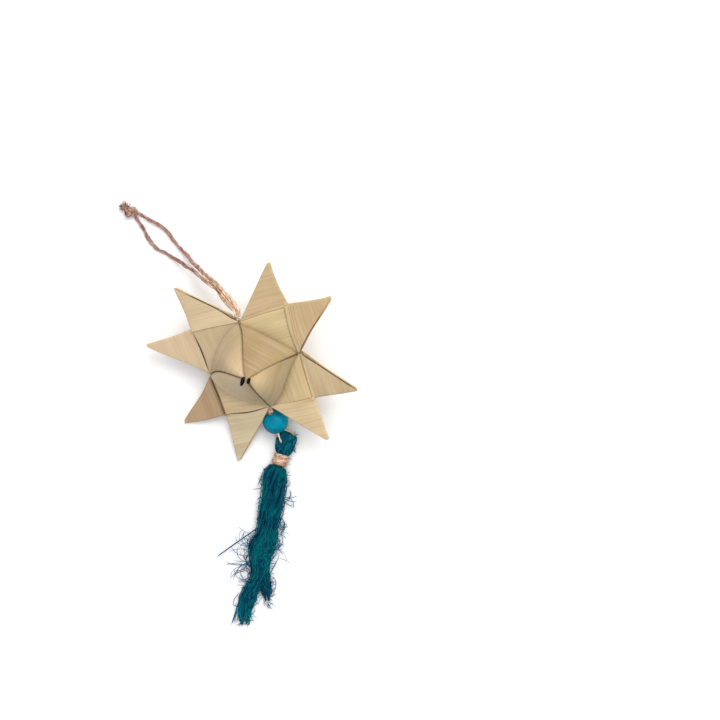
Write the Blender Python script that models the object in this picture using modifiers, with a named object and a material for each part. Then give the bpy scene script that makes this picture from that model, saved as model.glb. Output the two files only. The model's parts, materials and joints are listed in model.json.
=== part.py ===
"""A star woven of flat palm leaf strips, lying on its back cones, with its cord, bead and tassel.

Four doubled leaf strips are woven two over two into a square block. Each ends in two flat folded
points, and curls up into one hollow cone on the front and one on the back. A loop of twine passes
through the block, a wooden bead and the head of a fibre tassel.

The star is worked out in its own frame, flat in XY with its front up, and is then laid on the floor.
"""

import math

import bmesh
import bpy
import numpy as np
from mathutils import Matrix, Vector

MM = 0.001

# Leaf strips and the woven block
BAND = 22.0 * MM                # width of a strip, and the side of one woven cell
LEAF = 0.4 * MM                 # thickness of the leaf
GAP = 0.3 * MM                  # clearance between pieces that touch
LEAF_GAP = 0.35 * MM            # clearance between two crossing leaves
EDGE = 0.35 * MM                # each long edge of a strip keeps this far inside its cell

# Flat points
FOLD_START = 1.2 * MM           # the leg fold of a point begins this far out of the block
MOUTH = 1.5 * MM                # middle of leaf to middle of leaf along a point's open edge
TIP_OPEN = 1.1 * MM             # the same at its tip and along its fold
TIP_WIDTH = 0.9 * MM            # a point's blunt end
# Each strip's right and left point, as shares of its length: how far it reaches and leans outward
TIP_REACH = ((1.06, 1.18), (0.97, 0.975), (0.975, 0.98), (1.0, 0.99))
TIP_LEAN = ((0.02, -0.01), (0.035, 0.055), (-0.06, 0.06), (0.11, 0.09))

# Curled cones
CONE_TOP = (19.5 * MM, 18.1 * MM)   # front and back cone tips, from the block's middle plane
CONE_RISE = 4.8 * MM            # how far the middle of a cone's mouth stands over its feet
CONE_REACH = 0.80               # that middle's distance from the axis, as a share of the strip width
CONE_FEET = 0.965               # its feet's distance from the axis, as a share of the same
CONE_FOOT = 0.5 * MM            # height of a cone's foot over the band that carries it
CONE_FUSED = 0.72               # the outer share of a cone's seam walls that runs down to the band
CONE_TIP = 0.05                 # the cones stop short of the axis by this share
CONE_DRAWN = (1.65 * MM, -1.35 * MM)    # the stitches draw the front tips this far off the axis

# Cord, bead and stitches
TWINE = 1.6 * MM                # diameter of the jute twine
STRAND_GAP = 0.3 * MM           # between two strands that run side by side
THREAD = 0.8 * MM               # bundle of stitches across the cone tips
STITCH_LIFT = 0.6 * MM          # the bundle's clearance over the cones' slopes
BEAD_DIAMETER = 12.0 * MM
BEAD_DROP = (0.0022, -0.0064)   # bead's centre from the mouth of the block, along X and Y
BEAD_TURN = -62.0               # heading of its bore, in degrees
BEAD_PITCH = -41.0              # dip of its bore, in degrees

# Tassel and its binding
HEAD_DIAMETER = 9.2 * MM
HEAD_LENGTH = 10.6 * MM
HEAD_FROM_BEAD = (0.0049, -0.0102)
TASSEL_TURN = -108.4            # heading of the tassel's head and neck, in degrees
WRAP_DIAMETER = 7.2 * MM
WRAP_TURNS = 4
SKIRT_WIDTH = 12.0 * MM
SKIRT_HEIGHT = 8.0 * MM
FIBRE_RIDGES = 10
LOCK_RIDGES = 5
RIDGE_DEPTH = 0.07
SETTLES = 6.8 * MM              # below the wrap, the skirt comes down onto the floor over this length

# The skirt's middle line and girth, chosen by hand: metres east and north of the wrap's lower end,
# and shares of the skirt's full width and height
SKIRT_ROUTE = (
    (0.0, 0.0, 0.55, 0.62), (-0.0012, -0.0032, 0.88, 0.92), (-0.0018, -0.0062, 0.92, 1.0),
    (-0.0022, -0.0100, 0.85, 1.0), (-0.0029, -0.0150, 0.81, 0.98), (-0.0038, -0.0200, 0.81, 0.96),
    (-0.0044, -0.0250, 0.78, 0.94), (-0.0050, -0.0300, 0.78, 0.92), (-0.0058, -0.0335, 0.84, 0.90),
    (-0.0070, -0.0368, 0.94, 0.88), (-0.0081, -0.0400, 0.92, 0.86), (-0.0084, -0.0434, 0.78, 0.82),
    (-0.0085, -0.0475, 0.69, 0.78), (-0.0087, -0.0512, 0.68, 0.74), (-0.0089, -0.0545, 0.72, 0.66),
)
LEFT_LOCK = (
    (-0.0090, -0.0490, 0.42, 0.50), (-0.0104, -0.0540, 0.46, 0.56), (-0.0124, -0.0580, 0.52, 0.54),
    (-0.0143, -0.0622, 0.60, 0.50), (-0.0156, -0.0665, 0.55, 0.44), (-0.0161, -0.0710, 0.50, 0.38),
    (-0.0163, -0.0752, 0.40, 0.26),
)
RIGHT_LOCK = (
    (-0.0076, -0.0490, 0.40, 0.48), (-0.0066, -0.0550, 0.42, 0.46), (-0.0059, -0.0595, 0.45, 0.40),
    (-0.0055, -0.0640, 0.24, 0.22),
)

# Placing: how far the woven bands turn from the frame's axes, in degrees
STAR_TURN = 15.6
STAR_LEAN = 22.7

# The cord's routes, in metres: east and north of where it leaves the block, and its height as a
# share of that place's height over the floor
RIGHT_ROUTE = (
    (0.0005, 0.0032, 1.03), (-0.0022, 0.0068, 0.975), (-0.0053, 0.0102, 0.88), (-0.0074, 0.0127, 0.79),
    (-0.0104, 0.0157, 0.67), (-0.0139, 0.0182, 0.53), (-0.0172, 0.0211, 0.40), (-0.0202, 0.0240, 0.27),
    (-0.0236, 0.0270, 0.15), (-0.0269, 0.0308, 0.06), (-0.0302, 0.0343, 0.015), (-0.0329, 0.0375, 0.0),
    (-0.0350, 0.0406, 0.0), (-0.0374, 0.0429, 0.0), (-0.0399, 0.0448, 0.0), (-0.0427, 0.0463, 0.0),
    (-0.0456, 0.0480, 0.0), (-0.0485, 0.0499, 0.0), (-0.0506, 0.0511, 0.0),
)
LEFT_ROUTE = (
    (-0.0013, 0.0026, 1.03), (-0.0037, 0.0056, 0.985), (-0.0068, 0.0089, 0.89), (-0.0088, 0.0115, 0.80),
    (-0.0116, 0.0143, 0.66), (-0.0151, 0.0166, 0.525), (-0.0189, 0.0197, 0.40), (-0.0224, 0.0226, 0.30),
    (-0.0266, 0.0248, 0.18), (-0.0294, 0.0270, 0.10), (-0.0331, 0.0293, 0.03), (-0.0367, 0.0316, 0.0),
    (-0.0406, 0.0334, 0.0), (-0.0431, 0.0359, 0.0), (-0.0452, 0.0390, 0.0), (-0.0470, 0.0428, 0.0),
    (-0.0493, 0.0462, 0.0), (-0.0511, 0.0489, 0.0),
)
KNOT_PLACE = (-0.0539, 0.0511)
KNOT_SIZE = (0.0064, 0.0056, 0.0042)

# Fits worked out from the sizes above
HALF_TURN = math.pi
TWINE_RADIUS = TWINE / 2
STRAND = (TWINE + STRAND_GAP) / 2
POCKET = TWINE_RADIUS + GAP
INNER = POCKET + LEAF / 2
OUTER = INNER + LEAF + LEAF_GAP
BLOCK_HALF = (INNER + OUTER) / 2
SEAM = EDGE + LEAF / 2 + 0.05 * MM
BEAD_RADIUS = BEAD_DIAMETER / 2
BORE_RADIUS = STRAND + TWINE_RADIUS + GAP
NECK_RADIUS = WRAP_DIAMETER / 2 - TWINE - GAP
WRAP_LENGTH = WRAP_TURNS * TWINE * 0.92


def smooth(share):
    """An S-shaped step from 0 to 1."""
    share = min(1.0, max(0.0, share))
    return share * share * (3.0 - 2.0 * share)


def blend(first, second, share):
    return first + (second - first) * share


def clear_scene():
    for item in list(bpy.data.objects):
        bpy.data.objects.remove(item, do_unlink=True)


def new_collection(name):
    collection = bpy.data.collections.new(name)
    bpy.context.scene.collection.children.link(collection)
    return collection


def material(name, colour, roughness):
    made = bpy.data.materials.new(name)
    made.use_nodes = True
    shader = made.node_tree.nodes["Principled BSDF"]
    shader.inputs["Base Color"].default_value = (*colour, 1.0)
    shader.inputs["Roughness"].default_value = roughness
    shader.inputs["Metallic"].default_value = 0.0
    made.diffuse_color = (*colour, 1.0)
    return made


def object_from(name, mesh, collection, look=None):
    item = bpy.data.objects.new(name, mesh)
    collection.objects.link(item)
    if look is not None:
        mesh.materials.append(look)
    return item


def hide_as_cutter(item):
    item.hide_render = True
    item.display_type = "WIRE"


def grid_mesh(name, rows, is_open=None):
    """A surface through rows of points. is_open(row, column) leaves that face out."""
    mesh = bpy.data.meshes.new(name)
    net = bmesh.new()
    corners = [[net.verts.new(point) for point in row] for row in rows]
    for r in range(len(rows) - 1):
        for c in range(len(rows[0]) - 1):
            if is_open is not None and is_open(r, c):
                continue
            net.faces.new((corners[r][c], corners[r][c + 1], corners[r + 1][c + 1], corners[r + 1][c]))
    loose = [corner for corner in net.verts if not corner.link_faces]
    bmesh.ops.delete(net, geom=loose, context="VERTS")
    net.to_mesh(mesh)
    net.free()
    return mesh


def loft_mesh(name, rings):
    """A closed solid through rings that have the same number of points, capped at both ends."""
    mesh = bpy.data.meshes.new(name)
    net = bmesh.new()
    corners = [[net.verts.new(point) for point in ring] for ring in rings]
    count = len(rings[0])
    for r in range(len(rings) - 1):
        for c in range(count):
            after = (c + 1) % count
            net.faces.new((corners[r][c], corners[r][after], corners[r + 1][after], corners[r + 1][c]))
    net.faces.new(corners[0])
    net.faces.new(list(reversed(corners[-1])))
    bmesh.ops.recalc_face_normals(net, faces=net.faces)
    for face in net.faces:
        face.smooth = True
    net.to_mesh(mesh)
    net.free()
    return mesh


def add_shell(item, thickness):
    shell = item.modifiers.new("leaf thickness", "SOLIDIFY")
    shell.thickness = thickness
    shell.offset = 0.0
    shell.use_even_offset = True


def add_boolean(item, operand, operation, crosses_itself=False):
    cut = item.modifiers.new(operation.lower() + " " + operand.name, "BOOLEAN")
    cut.operation = operation
    cut.solver = "EXACT"
    cut.use_self = crosses_itself
    cut.object = operand


def turned_about_y(point):
    """The back of a strip is its front turned half round about Y."""
    return Vector((-point[0], point[1], -point[2]))


def quarter_turn(count):
    """Each strip after the first is a quarter turn clockwise on."""
    return Matrix.Rotation(-count * HALF_TURN / 2, 4, "Z")


# Leaf strips


def half_opening(along, across):
    """Half the distance between the two leaves of a point.

    along runs from 0 at the block to 1 at the tip, across from 0 at the open edge to 1 at the fold.
    """
    closing = 1.0 - smooth(along / 0.45)
    mouth = blend(MOUTH, TIP_OPEN, along) / 2
    mouth = mouth + (BLOCK_HALF - mouth) * closing
    pinch = smooth(along * BAND / FOLD_START) * across ** 3
    return blend(mouth, TIP_OPEN / 2, pinch)


def front_height(x, across):
    """Height of the middle of a strip's front leaf: under on the left half, over on the right."""
    if abs(x) <= BAND:
        return blend(INNER, OUTER, smooth((x + EDGE) / (2 * EDGE)))
    along = (abs(x) - BAND) / BAND
    middle = math.copysign((OUTER - INNER) / 2, x) * (1.0 - along)
    return middle + half_opening(along, across)


def strip_stations():
    """Where the leaf's cross rows stand along its length, from tip to tip."""
    half = [EDGE, 0.5 * BAND, BAND, BAND + FOLD_START]
    half += [BAND * (1.0 + share) for share in (0.14, 0.25, 0.38, 0.55, 0.75, 1.0)]
    half[-1] = 2 * BAND - TIP_WIDTH / 2
    return [-x for x in reversed(half)] + half


def strip_rows(number):
    """The front leaf, the fold along both points' legs and the back leaf, as rows along the strip."""
    stations = strip_stations()
    shares = (0.0, 0.45, 0.8, 1.0)
    top = BAND - EDGE

    def placed(x, y, z):
        if abs(x) <= BAND:
            return Vector((x, y, z))
        side = 0 if x > 0 else 1
        out = abs(x) - BAND
        reach = BAND + out * TIP_REACH[number][side]
        return Vector((math.copysign(reach, x), y + out * TIP_LEAN[number][side], z))

    def bottom(x):
        out = max(0.0, abs(x) - BAND)
        return EDGE + out * (top - TIP_WIDTH - EDGE) / (stations[-1] - BAND)

    rows = []
    for share in shares:
        rows.append([placed(x, blend(bottom(x), top, share), front_height(x, share)) for x in stations])
    for turn in (0.25, 0.5, 0.75):
        row = []
        for x in stations:
            over = front_height(x, 1.0)
            under = -front_height(-x, 1.0)
            middle = (over + under) / 2
            radius = (over - under) / 2
            angle = turn * HALF_TURN
            y = top + radius * math.sin(angle)
            row.append(placed(x, y, middle + radius * math.cos(angle)))
        rows.append(row)
    for share in reversed(shares):
        rows.append([placed(x, blend(bottom(x), top, share), -front_height(-x, share)) for x in stations])
    return rows, stations


def mouth_radius(angle):
    """How far a cone's mouth stands off the axis: it bows out from the chord between its two feet."""
    aside = angle - HALF_TURN / 4
    chord = BAND * CONE_FEET * math.cos(HALF_TURN / 4)
    bow = CONE_REACH * BAND - chord
    return (chord + bow * (1.0 - math.tan(aside) ** 2)) / math.cos(aside)


def cone_rows(top, drawn):
    """A cone over the cell where the strip lies on top, as rows from its tip to its mouth."""
    tip = Vector((SEAM, SEAM, top))
    foot = OUTER + CONE_FOOT
    rows = []
    for share in (CONE_TIP, 0.2, 0.45, CONE_FUSED, 0.87, 1.0):
        arch = []
        for step in range(9):
            angle = step / 8 * HALF_TURN / 2
            swell = math.sin(2 * angle)
            radius = mouth_radius(angle)
            place = Vector((radius * math.cos(angle), radius * math.sin(angle), 0.0))
            place.x = max(place.x, SEAM)
            place.y = max(place.y, SEAM)
            place.z = foot + CONE_RISE * max(0.0, swell) ** 0.75
            arch.append(tip.lerp(place, share))
        ridge = arch[0].z
        fused_ridge = blend(top, foot, CONE_FUSED)
        low = OUTER
        if share < CONE_FUSED:
            low = ridge - (fused_ridge - OUTER) * share / CONE_FUSED
        first = Vector((arch[0].x, arch[0].y, low))
        last = Vector((arch[-1].x, arch[-1].y, low))
        aside = drawn * max(0.0, 1.0 - share / CONE_FUSED) ** 2
        rows.append([point + aside for point in [first] + arch + [last]])
    return rows


def leaf_strip(number, look, parts, cutters, star):
    rows, stations = strip_rows(number)
    first_fold = 3

    def is_open(row, column):
        on_fold = first_fold <= row < first_fold + 4
        left, right = stations[column], stations[column + 1]
        return on_fold and max(abs(left), abs(right)) <= BAND + FOLD_START

    name = "leaf_strip_%d" % (number + 1)
    strip = object_from(name, grid_mesh(name, rows, is_open), parts, look)
    add_shell(strip, LEAF)
    turn = quarter_turn(number)
    strip.parent = star
    strip.matrix_local = turn
    for side, cone_top in zip(("front", "back"), CONE_TOP):
        drawn = turn.inverted() @ Vector((*CONE_DRAWN, 0.0)) if side == "front" else Vector()
        points = cone_rows(cone_top, drawn)
        if side == "back":
            points = [[turned_about_y(point) for point in row] for row in points]
        cone_name = "cone_%s_%d" % (side, number + 1)
        cone = object_from(cone_name, grid_mesh(cone_name, points), cutters)
        add_shell(cone, LEAF)
        cone.parent = star
        cone.matrix_local = turn
        hide_as_cutter(cone)
        add_boolean(strip, cone, "UNION")
    return strip


# Tubes


def through(points, step):
    """Points about a step apart along a smooth curve through the given points."""
    points = [Vector(point) for point in points]
    padded = [points[0] * 2 - points[1]] + points + [points[-1] * 2 - points[-2]]
    found = []
    for i in range(1, len(padded) - 2):
        a, b, c, d = padded[i - 1], padded[i], padded[i + 1], padded[i + 2]
        count = max(1, round((c - b).length / step))
        for k in range(count):
            t = k / count
            found.append(0.5 * ((2 * b) + (c - a) * t + (2 * a - 5 * b + 4 * c - d) * t * t
                                + (3 * b - a - 3 * c + d) * t ** 3))
    found.append(points[-1])
    return found


def tube(name, points, radius, collection, look=None, sides=2):
    curve = bpy.data.curves.new(name, "CURVE")
    curve.dimensions = "3D"
    curve.bevel_depth = radius
    curve.bevel_resolution = sides
    curve.use_fill_caps = True
    spline = curve.splines.new("POLY")
    spline.points.add(len(points) - 1)
    for place, point in zip(spline.points, points):
        place.co = (*point, 1.0)
    if look is not None:
        curve.materials.append(look)
    item = bpy.data.objects.new(name, curve)
    collection.objects.link(item)
    return item


def tube_as_mesh(item, collection):
    """The same tube as a closed mesh, for a Boolean."""
    scene_now = bpy.context.evaluated_depsgraph_get()
    mesh = bpy.data.meshes.new_from_object(item.evaluated_get(scene_now))
    net = bmesh.new()
    net.from_mesh(mesh)
    bmesh.ops.remove_doubles(net, verts=net.verts, dist=0.00001)
    bmesh.ops.recalc_face_normals(net, faces=net.faces)
    net.to_mesh(mesh)
    net.free()
    made = object_from(item.name + "_mesh", mesh, collection)
    made.matrix_world = item.matrix_world
    bpy.data.objects.remove(item, do_unlink=True)
    return made


# Stitches


def cone_height(x, y, top):
    """Height of the cones' outside near the axis, over the block's middle plane."""
    x, y = abs(x), abs(y)
    angle = math.atan2(y, x)
    swell = max(0.0, math.sin(2 * angle))
    foot = OUTER + CONE_FOOT + CONE_RISE * swell ** 0.75
    return blend(top, foot, min(1.0, math.hypot(x, y) / mouth_radius(angle))) + LEAF / 2


def stitches(name, look, parts, star, back):
    """A bundle of thread that goes down one side of the cone tips, over them and down the other."""
    legs = ((-1.5, -2.6), (-1.2, -1.0), (-0.7, 0.6), (0.3, 1.1), (1.1, 0.3), (1.4, -1.5))
    top = CONE_TOP[1] if back else CONE_TOP[0]
    drawn = Vector() if back else Vector((*CONE_DRAWN, 0.0))
    points = []
    for x, y in legs:
        x, y = x * MM, y * MM
        points.append(drawn + Vector((x, y, cone_height(x, y, top) + THREAD / 2 + STITCH_LIFT)))
    points = through(points, 1.2 * MM)
    if back:
        points = [turned_about_y(point) for point in points]
    item = tube(name, points, THREAD / 2, parts, look)
    item.parent = star
    return item


# Laying the star down


def world_points(items):
    scene_now = bpy.context.evaluated_depsgraph_get()
    found = []
    for item in items:
        solid = item.evaluated_get(scene_now)
        mesh = solid.to_mesh()
        found += [item.matrix_world @ vertex.co for vertex in mesh.vertices]
        solid.to_mesh_clear()
    return found


def lay_down(star, items):
    """Turn the star in its plane, then tip it until the back cones and two points touch the floor."""
    bpy.context.view_layer.update()
    cloud = np.array([tuple(point) for point in world_points(items)])
    turn = Matrix.Rotation(math.radians(STAR_TURN), 3, "Z")
    downhill = math.radians(STAR_TURN - 135.0)
    axis = Vector((-math.sin(downhill), math.cos(downhill), 0.0))
    tilt = Matrix.Rotation(math.radians(STAR_LEAN), 3, axis)
    pose = tilt @ turn
    is_cone = np.hypot(cloud[:, 0], cloud[:, 1]) < 0.3 * BAND
    is_lower_point = (cloud[:, 1] < -1.5 * BAND) & (cloud[:, 0] < 0)
    is_left_point = (cloud[:, 0] < -1.5 * BAND) & (cloud[:, 1] < 0)
    for _ in range(6):
        heights = cloud @ np.array(pose.row[2])
        feet = []
        for group in (is_cone, is_lower_point, is_left_point):
            feet.append(Vector(cloud[np.where(group, heights, 1.0).argmin()]))
        normal = (feet[1] - feet[0]).cross(feet[2] - feet[0]).normalized()
        if normal.z > 0:
            normal.negate()
        down = pose @ normal
        pose = down.rotation_difference(Vector((0.0, 0.0, -1.0))).to_matrix() @ pose
    lowest = (cloud @ np.array(pose.row[2])).min()
    star.matrix_world = Matrix.Translation((0.0, 0.0, -lowest)) @ pose.to_4x4()
    bpy.context.view_layer.update()


# Bead, tassel and wrap


def heading(degrees, pitch=0.0):
    turn = math.radians(degrees)
    dip = math.radians(pitch)
    return Vector((math.cos(turn) * math.cos(dip), math.sin(turn) * math.cos(dip), math.sin(dip)))


def turned_solid(name, profile, collection, look, steps):
    """A profile of (radius, height) points, outer side first from top to bottom, turned about Z."""
    mesh = bpy.data.meshes.new(name)
    net = bmesh.new()
    corners = [net.verts.new((radius, 0.0, height)) for radius, height in profile]
    for i, corner in enumerate(corners):
        net.edges.new((corner, corners[(i + 1) % len(corners)]))
    net.to_mesh(mesh)
    net.free()
    item = object_from(name, mesh, collection, look)
    turn = item.modifiers.new("turn", "SCREW")
    turn.steps = steps
    turn.render_steps = steps
    turn.use_merge_vertices = True
    turn.merge_threshold = 0.00001
    return item


def bead_profile():
    half = math.sqrt(BEAD_RADIUS ** 2 - BORE_RADIUS ** 2)
    start = math.asin(half / BEAD_RADIUS)
    count = 12
    outer = []
    for i in range(count + 1):
        angle = blend(start, -start, i / count)
        outer.append((BEAD_RADIUS * math.cos(angle), BEAD_RADIUS * math.sin(angle)))
    return outer


def wrap_profile():
    """Bulging turns of twine on the outside, and a plain bore."""
    inner = NECK_RADIUS + GAP
    outer = WRAP_DIAMETER / 2
    pitch = WRAP_LENGTH / WRAP_TURNS
    points = [(inner, WRAP_LENGTH / 2)]
    for turn in range(WRAP_TURNS):
        top = WRAP_LENGTH / 2 - turn * pitch
        if turn == 0:
            points.append((outer - TWINE * 0.35, top))
        points.append((outer, top - 0.3 * pitch))
        points.append((outer, top - 0.7 * pitch))
        points.append((outer - TWINE * 0.35, top - pitch))
    points.append((inner, -WRAP_LENGTH / 2))
    return points


def frame_along(direction):
    """Across and up for a section whose normal runs along the direction."""
    across = Vector((-direction.y, direction.x, 0.0)).normalized()
    up = direction.cross(across).normalized()
    if up.z < 0:
        up.negate()
    return across, up


def section(centre, direction, width, height, count, ridges=0, depth=0.0, twist=0.0):
    across, up = frame_along(direction)
    points = []
    for i in range(count):
        angle = 2 * HALF_TURN * i / count
        size = 1.0 - depth + depth * math.cos(ridges * (angle + twist))
        points.append(centre + across * (size * width / 2 * math.cos(angle))
                      + up * (size * height / 2 * math.sin(angle)))
    return points


def tassel_body(look, parts, cutters, head, direction, cord_points):
    """Head, neck and skirt in one, with two locks at the end, and the cord's way through the head."""
    count = 3 * FIBRE_RIDGES
    half = HEAD_LENGTH / 2
    neck = NECK_RADIUS * 2
    neck_end = half + WRAP_LENGTH + 2 * GAP
    rings = []
    for share, size in ((-1.0, 0.36), (-0.86, 0.70), (-0.55, 0.92), (0.0, 1.0), (0.5, 0.93), (0.82, 0.70)):
        width = HEAD_DIAMETER * size
        rings.append(section(head + direction * (share * half), direction, width, width, count,
                             FIBRE_RIDGES, 0.03))
    for along in (half - 0.2 * MM, neck_end - GAP):
        rings.append(section(head + direction * along, direction, neck, neck, count))
    start = head + direction * neck_end
    centres = []
    for x, y, wide, tall in SKIRT_ROUTE:
        height = SKIRT_HEIGHT * tall
        centre = Vector((start.x + x, start.y + y, 0.0))
        centre.z = blend(start.z, height / 2, smooth(abs(y) / SETTLES))
        centres.append(centre)
    for i, (x, y, wide, tall) in enumerate(SKIRT_ROUTE):
        before = centres[max(0, i - 1)]
        after = centres[min(len(centres) - 1, i + 1)]
        along = (after - before).normalized()
        if i == 0:
            along = direction
        depth = RIDGE_DEPTH if i > 0 else 0.0
        rings.append(section(centres[i], along, SKIRT_WIDTH * wide, SKIRT_HEIGHT * tall, count,
                             FIBRE_RIDGES, depth, 0.06 * i))
    tassel = object_from("tassel", loft_mesh("tassel", rings), parts, look)
    for name, route in (("left", LEFT_LOCK), ("right", RIGHT_LOCK)):
        middles = [Vector((start.x + x, start.y + y, SKIRT_HEIGHT * tall / 2)) for x, y, wide, tall in route]
        lock_rings = []
        for i, (x, y, wide, tall) in enumerate(route):
            along = (middles[min(len(middles) - 1, i + 1)] - middles[max(0, i - 1)]).normalized()
            lock_rings.append(section(middles[i], along, SKIRT_WIDTH * wide, SKIRT_HEIGHT * tall,
                                      3 * LOCK_RIDGES, LOCK_RIDGES, RIDGE_DEPTH))
        lock = object_from("lock_" + name, loft_mesh("lock_" + name, lock_rings), cutters)
        hide_as_cutter(lock)
        add_boolean(tassel, lock, "UNION")
    channel = tube("head_channel", cord_points, TWINE_RADIUS + GAP, cutters)
    channel = tube_as_mesh(channel, cutters)
    hide_as_cutter(channel)
    add_boolean(tassel, channel, "DIFFERENCE", crosses_itself=True)
    return tassel


def build():
    clear_scene()
    parts = new_collection("woven star ornament")
    cutters = new_collection("cutters")
    leaf = material("palm leaf", (0.56, 0.47, 0.31), 0.62)
    thread = material("dark thread", (0.02, 0.017, 0.02), 0.7)
    jute = material("jute twine", (0.47, 0.34, 0.22), 0.85)
    wood = material("teal lacquered wood", (0.01, 0.19, 0.27), 0.25)
    fibre = material("teal jute fibre", (0.01, 0.13, 0.14), 0.75)

    root = bpy.data.objects.new("ornament", None)
    parts.objects.link(root)
    star = bpy.data.objects.new("star", None)
    parts.objects.link(star)

    strips = [leaf_strip(number, leaf, parts, cutters, star) for number in range(4)]
    front = stitches("stitch_thread_front", thread, parts, star, False)
    back = stitches("stitch_thread_back", thread, parts, star, True)
    lay_down(star, strips + [back])

    # Where the cord enters and leaves the block's pocket
    pose = star.matrix_world
    leave = BAND + 1.0 * MM
    top_exit = pose @ Vector((0.0, leave, 0.0))
    mouth = pose @ Vector((0.0, -BAND, 0.0))

    # Bead
    bead_centre = Vector((mouth.x + BEAD_DROP[0], mouth.y + BEAD_DROP[1], BEAD_RADIUS))
    bore = heading(BEAD_TURN, BEAD_PITCH)
    bead = turned_solid("bead", bead_profile(), parts, wood, 32)
    bead.matrix_world = Matrix.Translation(bead_centre) @ bore.to_track_quat("Z", "Y").to_matrix().to_4x4()

    # Tassel's head and neck
    direction = heading(TASSEL_TURN)
    head = Vector((bead_centre.x + HEAD_FROM_BEAD[0], bead_centre.y + HEAD_FROM_BEAD[1], HEAD_DIAMETER / 2))

    # Inner stretch of the cord: down through the block and bead, round in the head, and back
    side = Vector((-bore.y, bore.x, 0.0)).normalized()
    turn_centre = head.lerp(bead_centre, 0.08)
    bead_out = bead_centre + bore * (BEAD_RADIUS + 0.2 * MM)
    onward = (turn_centre - bead_out).normalized()
    turn_side = Vector((-onward.y, onward.x, 0.0)).normalized()
    turn_radius = STRAND + 1.0 * MM
    half_route = [pose @ Vector((0.0, y, 0.0)) for y in (BAND + 0.7 * MM, 0.5 * BAND, 0.0, -0.5 * BAND)]
    half_route += [pose @ Vector((0.0, -BAND - out, 0.0)) for out in (0.0, 2.0 * MM)]
    star_side = (pose.to_3x3() @ Vector((1.0, 0.0, 0.0))).normalized()
    right = [point + star_side * STRAND for point in half_route]
    left = [point - star_side * STRAND for point in half_route]
    for along in (-BEAD_RADIUS - 0.2 * MM, -BEAD_RADIUS / 2, 0.0, BEAD_RADIUS / 2, BEAD_RADIUS + 0.2 * MM):
        right.append(bead_centre + bore * along + side * STRAND)
        left.append(bead_centre + bore * along - side * STRAND)
    bend = []
    for step in range(7):
        angle = math.radians(blend(-20.0, 200.0, step / 6))
        bend.append(turn_centre + turn_side * (turn_radius * math.cos(angle))
                    + onward * (turn_radius * math.sin(angle)))
    inner_points = through(right + bend + list(reversed(left)), 1.6 * TWINE)
    bead_cord = tube("bead_cord", inner_points, TWINE_RADIUS, parts, jute)

    tassel = tassel_body(fibre, parts, cutters, head, direction, inner_points)
    wrap = turned_solid("tassel_wrap", wrap_profile(), parts, jute, 28)
    wrap_centre = head + direction * (HEAD_LENGTH / 2 + GAP + WRAP_LENGTH / 2)
    turn = direction.to_track_quat("Z", "Y").to_matrix().to_4x4()
    wrap.matrix_world = Matrix.Translation(wrap_centre) @ turn

    # Hanging loop and knot
    strands = []
    for name, route, where in (("right", RIGHT_ROUTE, STRAND), ("left", LEFT_ROUTE, -STRAND)):
        points = [pose @ Vector((where, leave, 0.0))]
        for east, north, share in route:
            height = TWINE_RADIUS + (top_exit.z - TWINE_RADIUS) * share
            points.append(Vector((top_exit.x + east, top_exit.y + north, height)))
        strands.append(tube("hanging_cord_" + name, through(points, 2.0 * TWINE), TWINE_RADIUS, parts, jute))
    knot_mesh = bpy.data.meshes.new("cord_knot")
    net = bmesh.new()
    bmesh.ops.create_uvsphere(net, u_segments=16, v_segments=10, radius=0.5)
    bmesh.ops.scale(net, vec=KNOT_SIZE, verts=net.verts)
    net.to_mesh(knot_mesh)
    net.free()
    knot = object_from("cord_knot", knot_mesh, parts, jute)
    knot.location = (top_exit.x + KNOT_PLACE[0], top_exit.y + KNOT_PLACE[1], KNOT_SIZE[2] / 2)
    knot.rotation_euler = (0.0, 0.0, math.radians(135.0))

    # The origin stands under the middle of everything but the free cord
    body = strips + [front, back, bead, bead_cord, tassel, wrap]
    bpy.context.view_layer.update()
    cloud = np.array([tuple(point) for point in world_points(body)])
    low, high = cloud.min(axis=0), cloud.max(axis=0)
    for item in [star, bead, bead_cord, tassel, wrap, knot] + strands:
        item.parent = root
    for cutter in cutters.objects:
        if cutter.parent is None:
            cutter.parent = root
    root.location = (-(low[0] + high[0]) / 2, -(low[1] + high[1]) / 2, -low[2])
    bpy.context.view_layer.update()


build()
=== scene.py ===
# %% [markdown]
# A star woven of palm leaf, with a twine loop, a wooden bead and a fibre tassel.
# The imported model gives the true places. This lesson dresses it: each cell below makes one
# piece or one finish, and prints what it made.

# %% Load the frame
import json
import random
from math import asin, copysign, cos, exp, hypot, pi, radians, sin, sqrt, tan

import bmesh
import bpy
from mathutils import Matrix, Vector, noise
from mathutils.bvhtree import BVHTree

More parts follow.
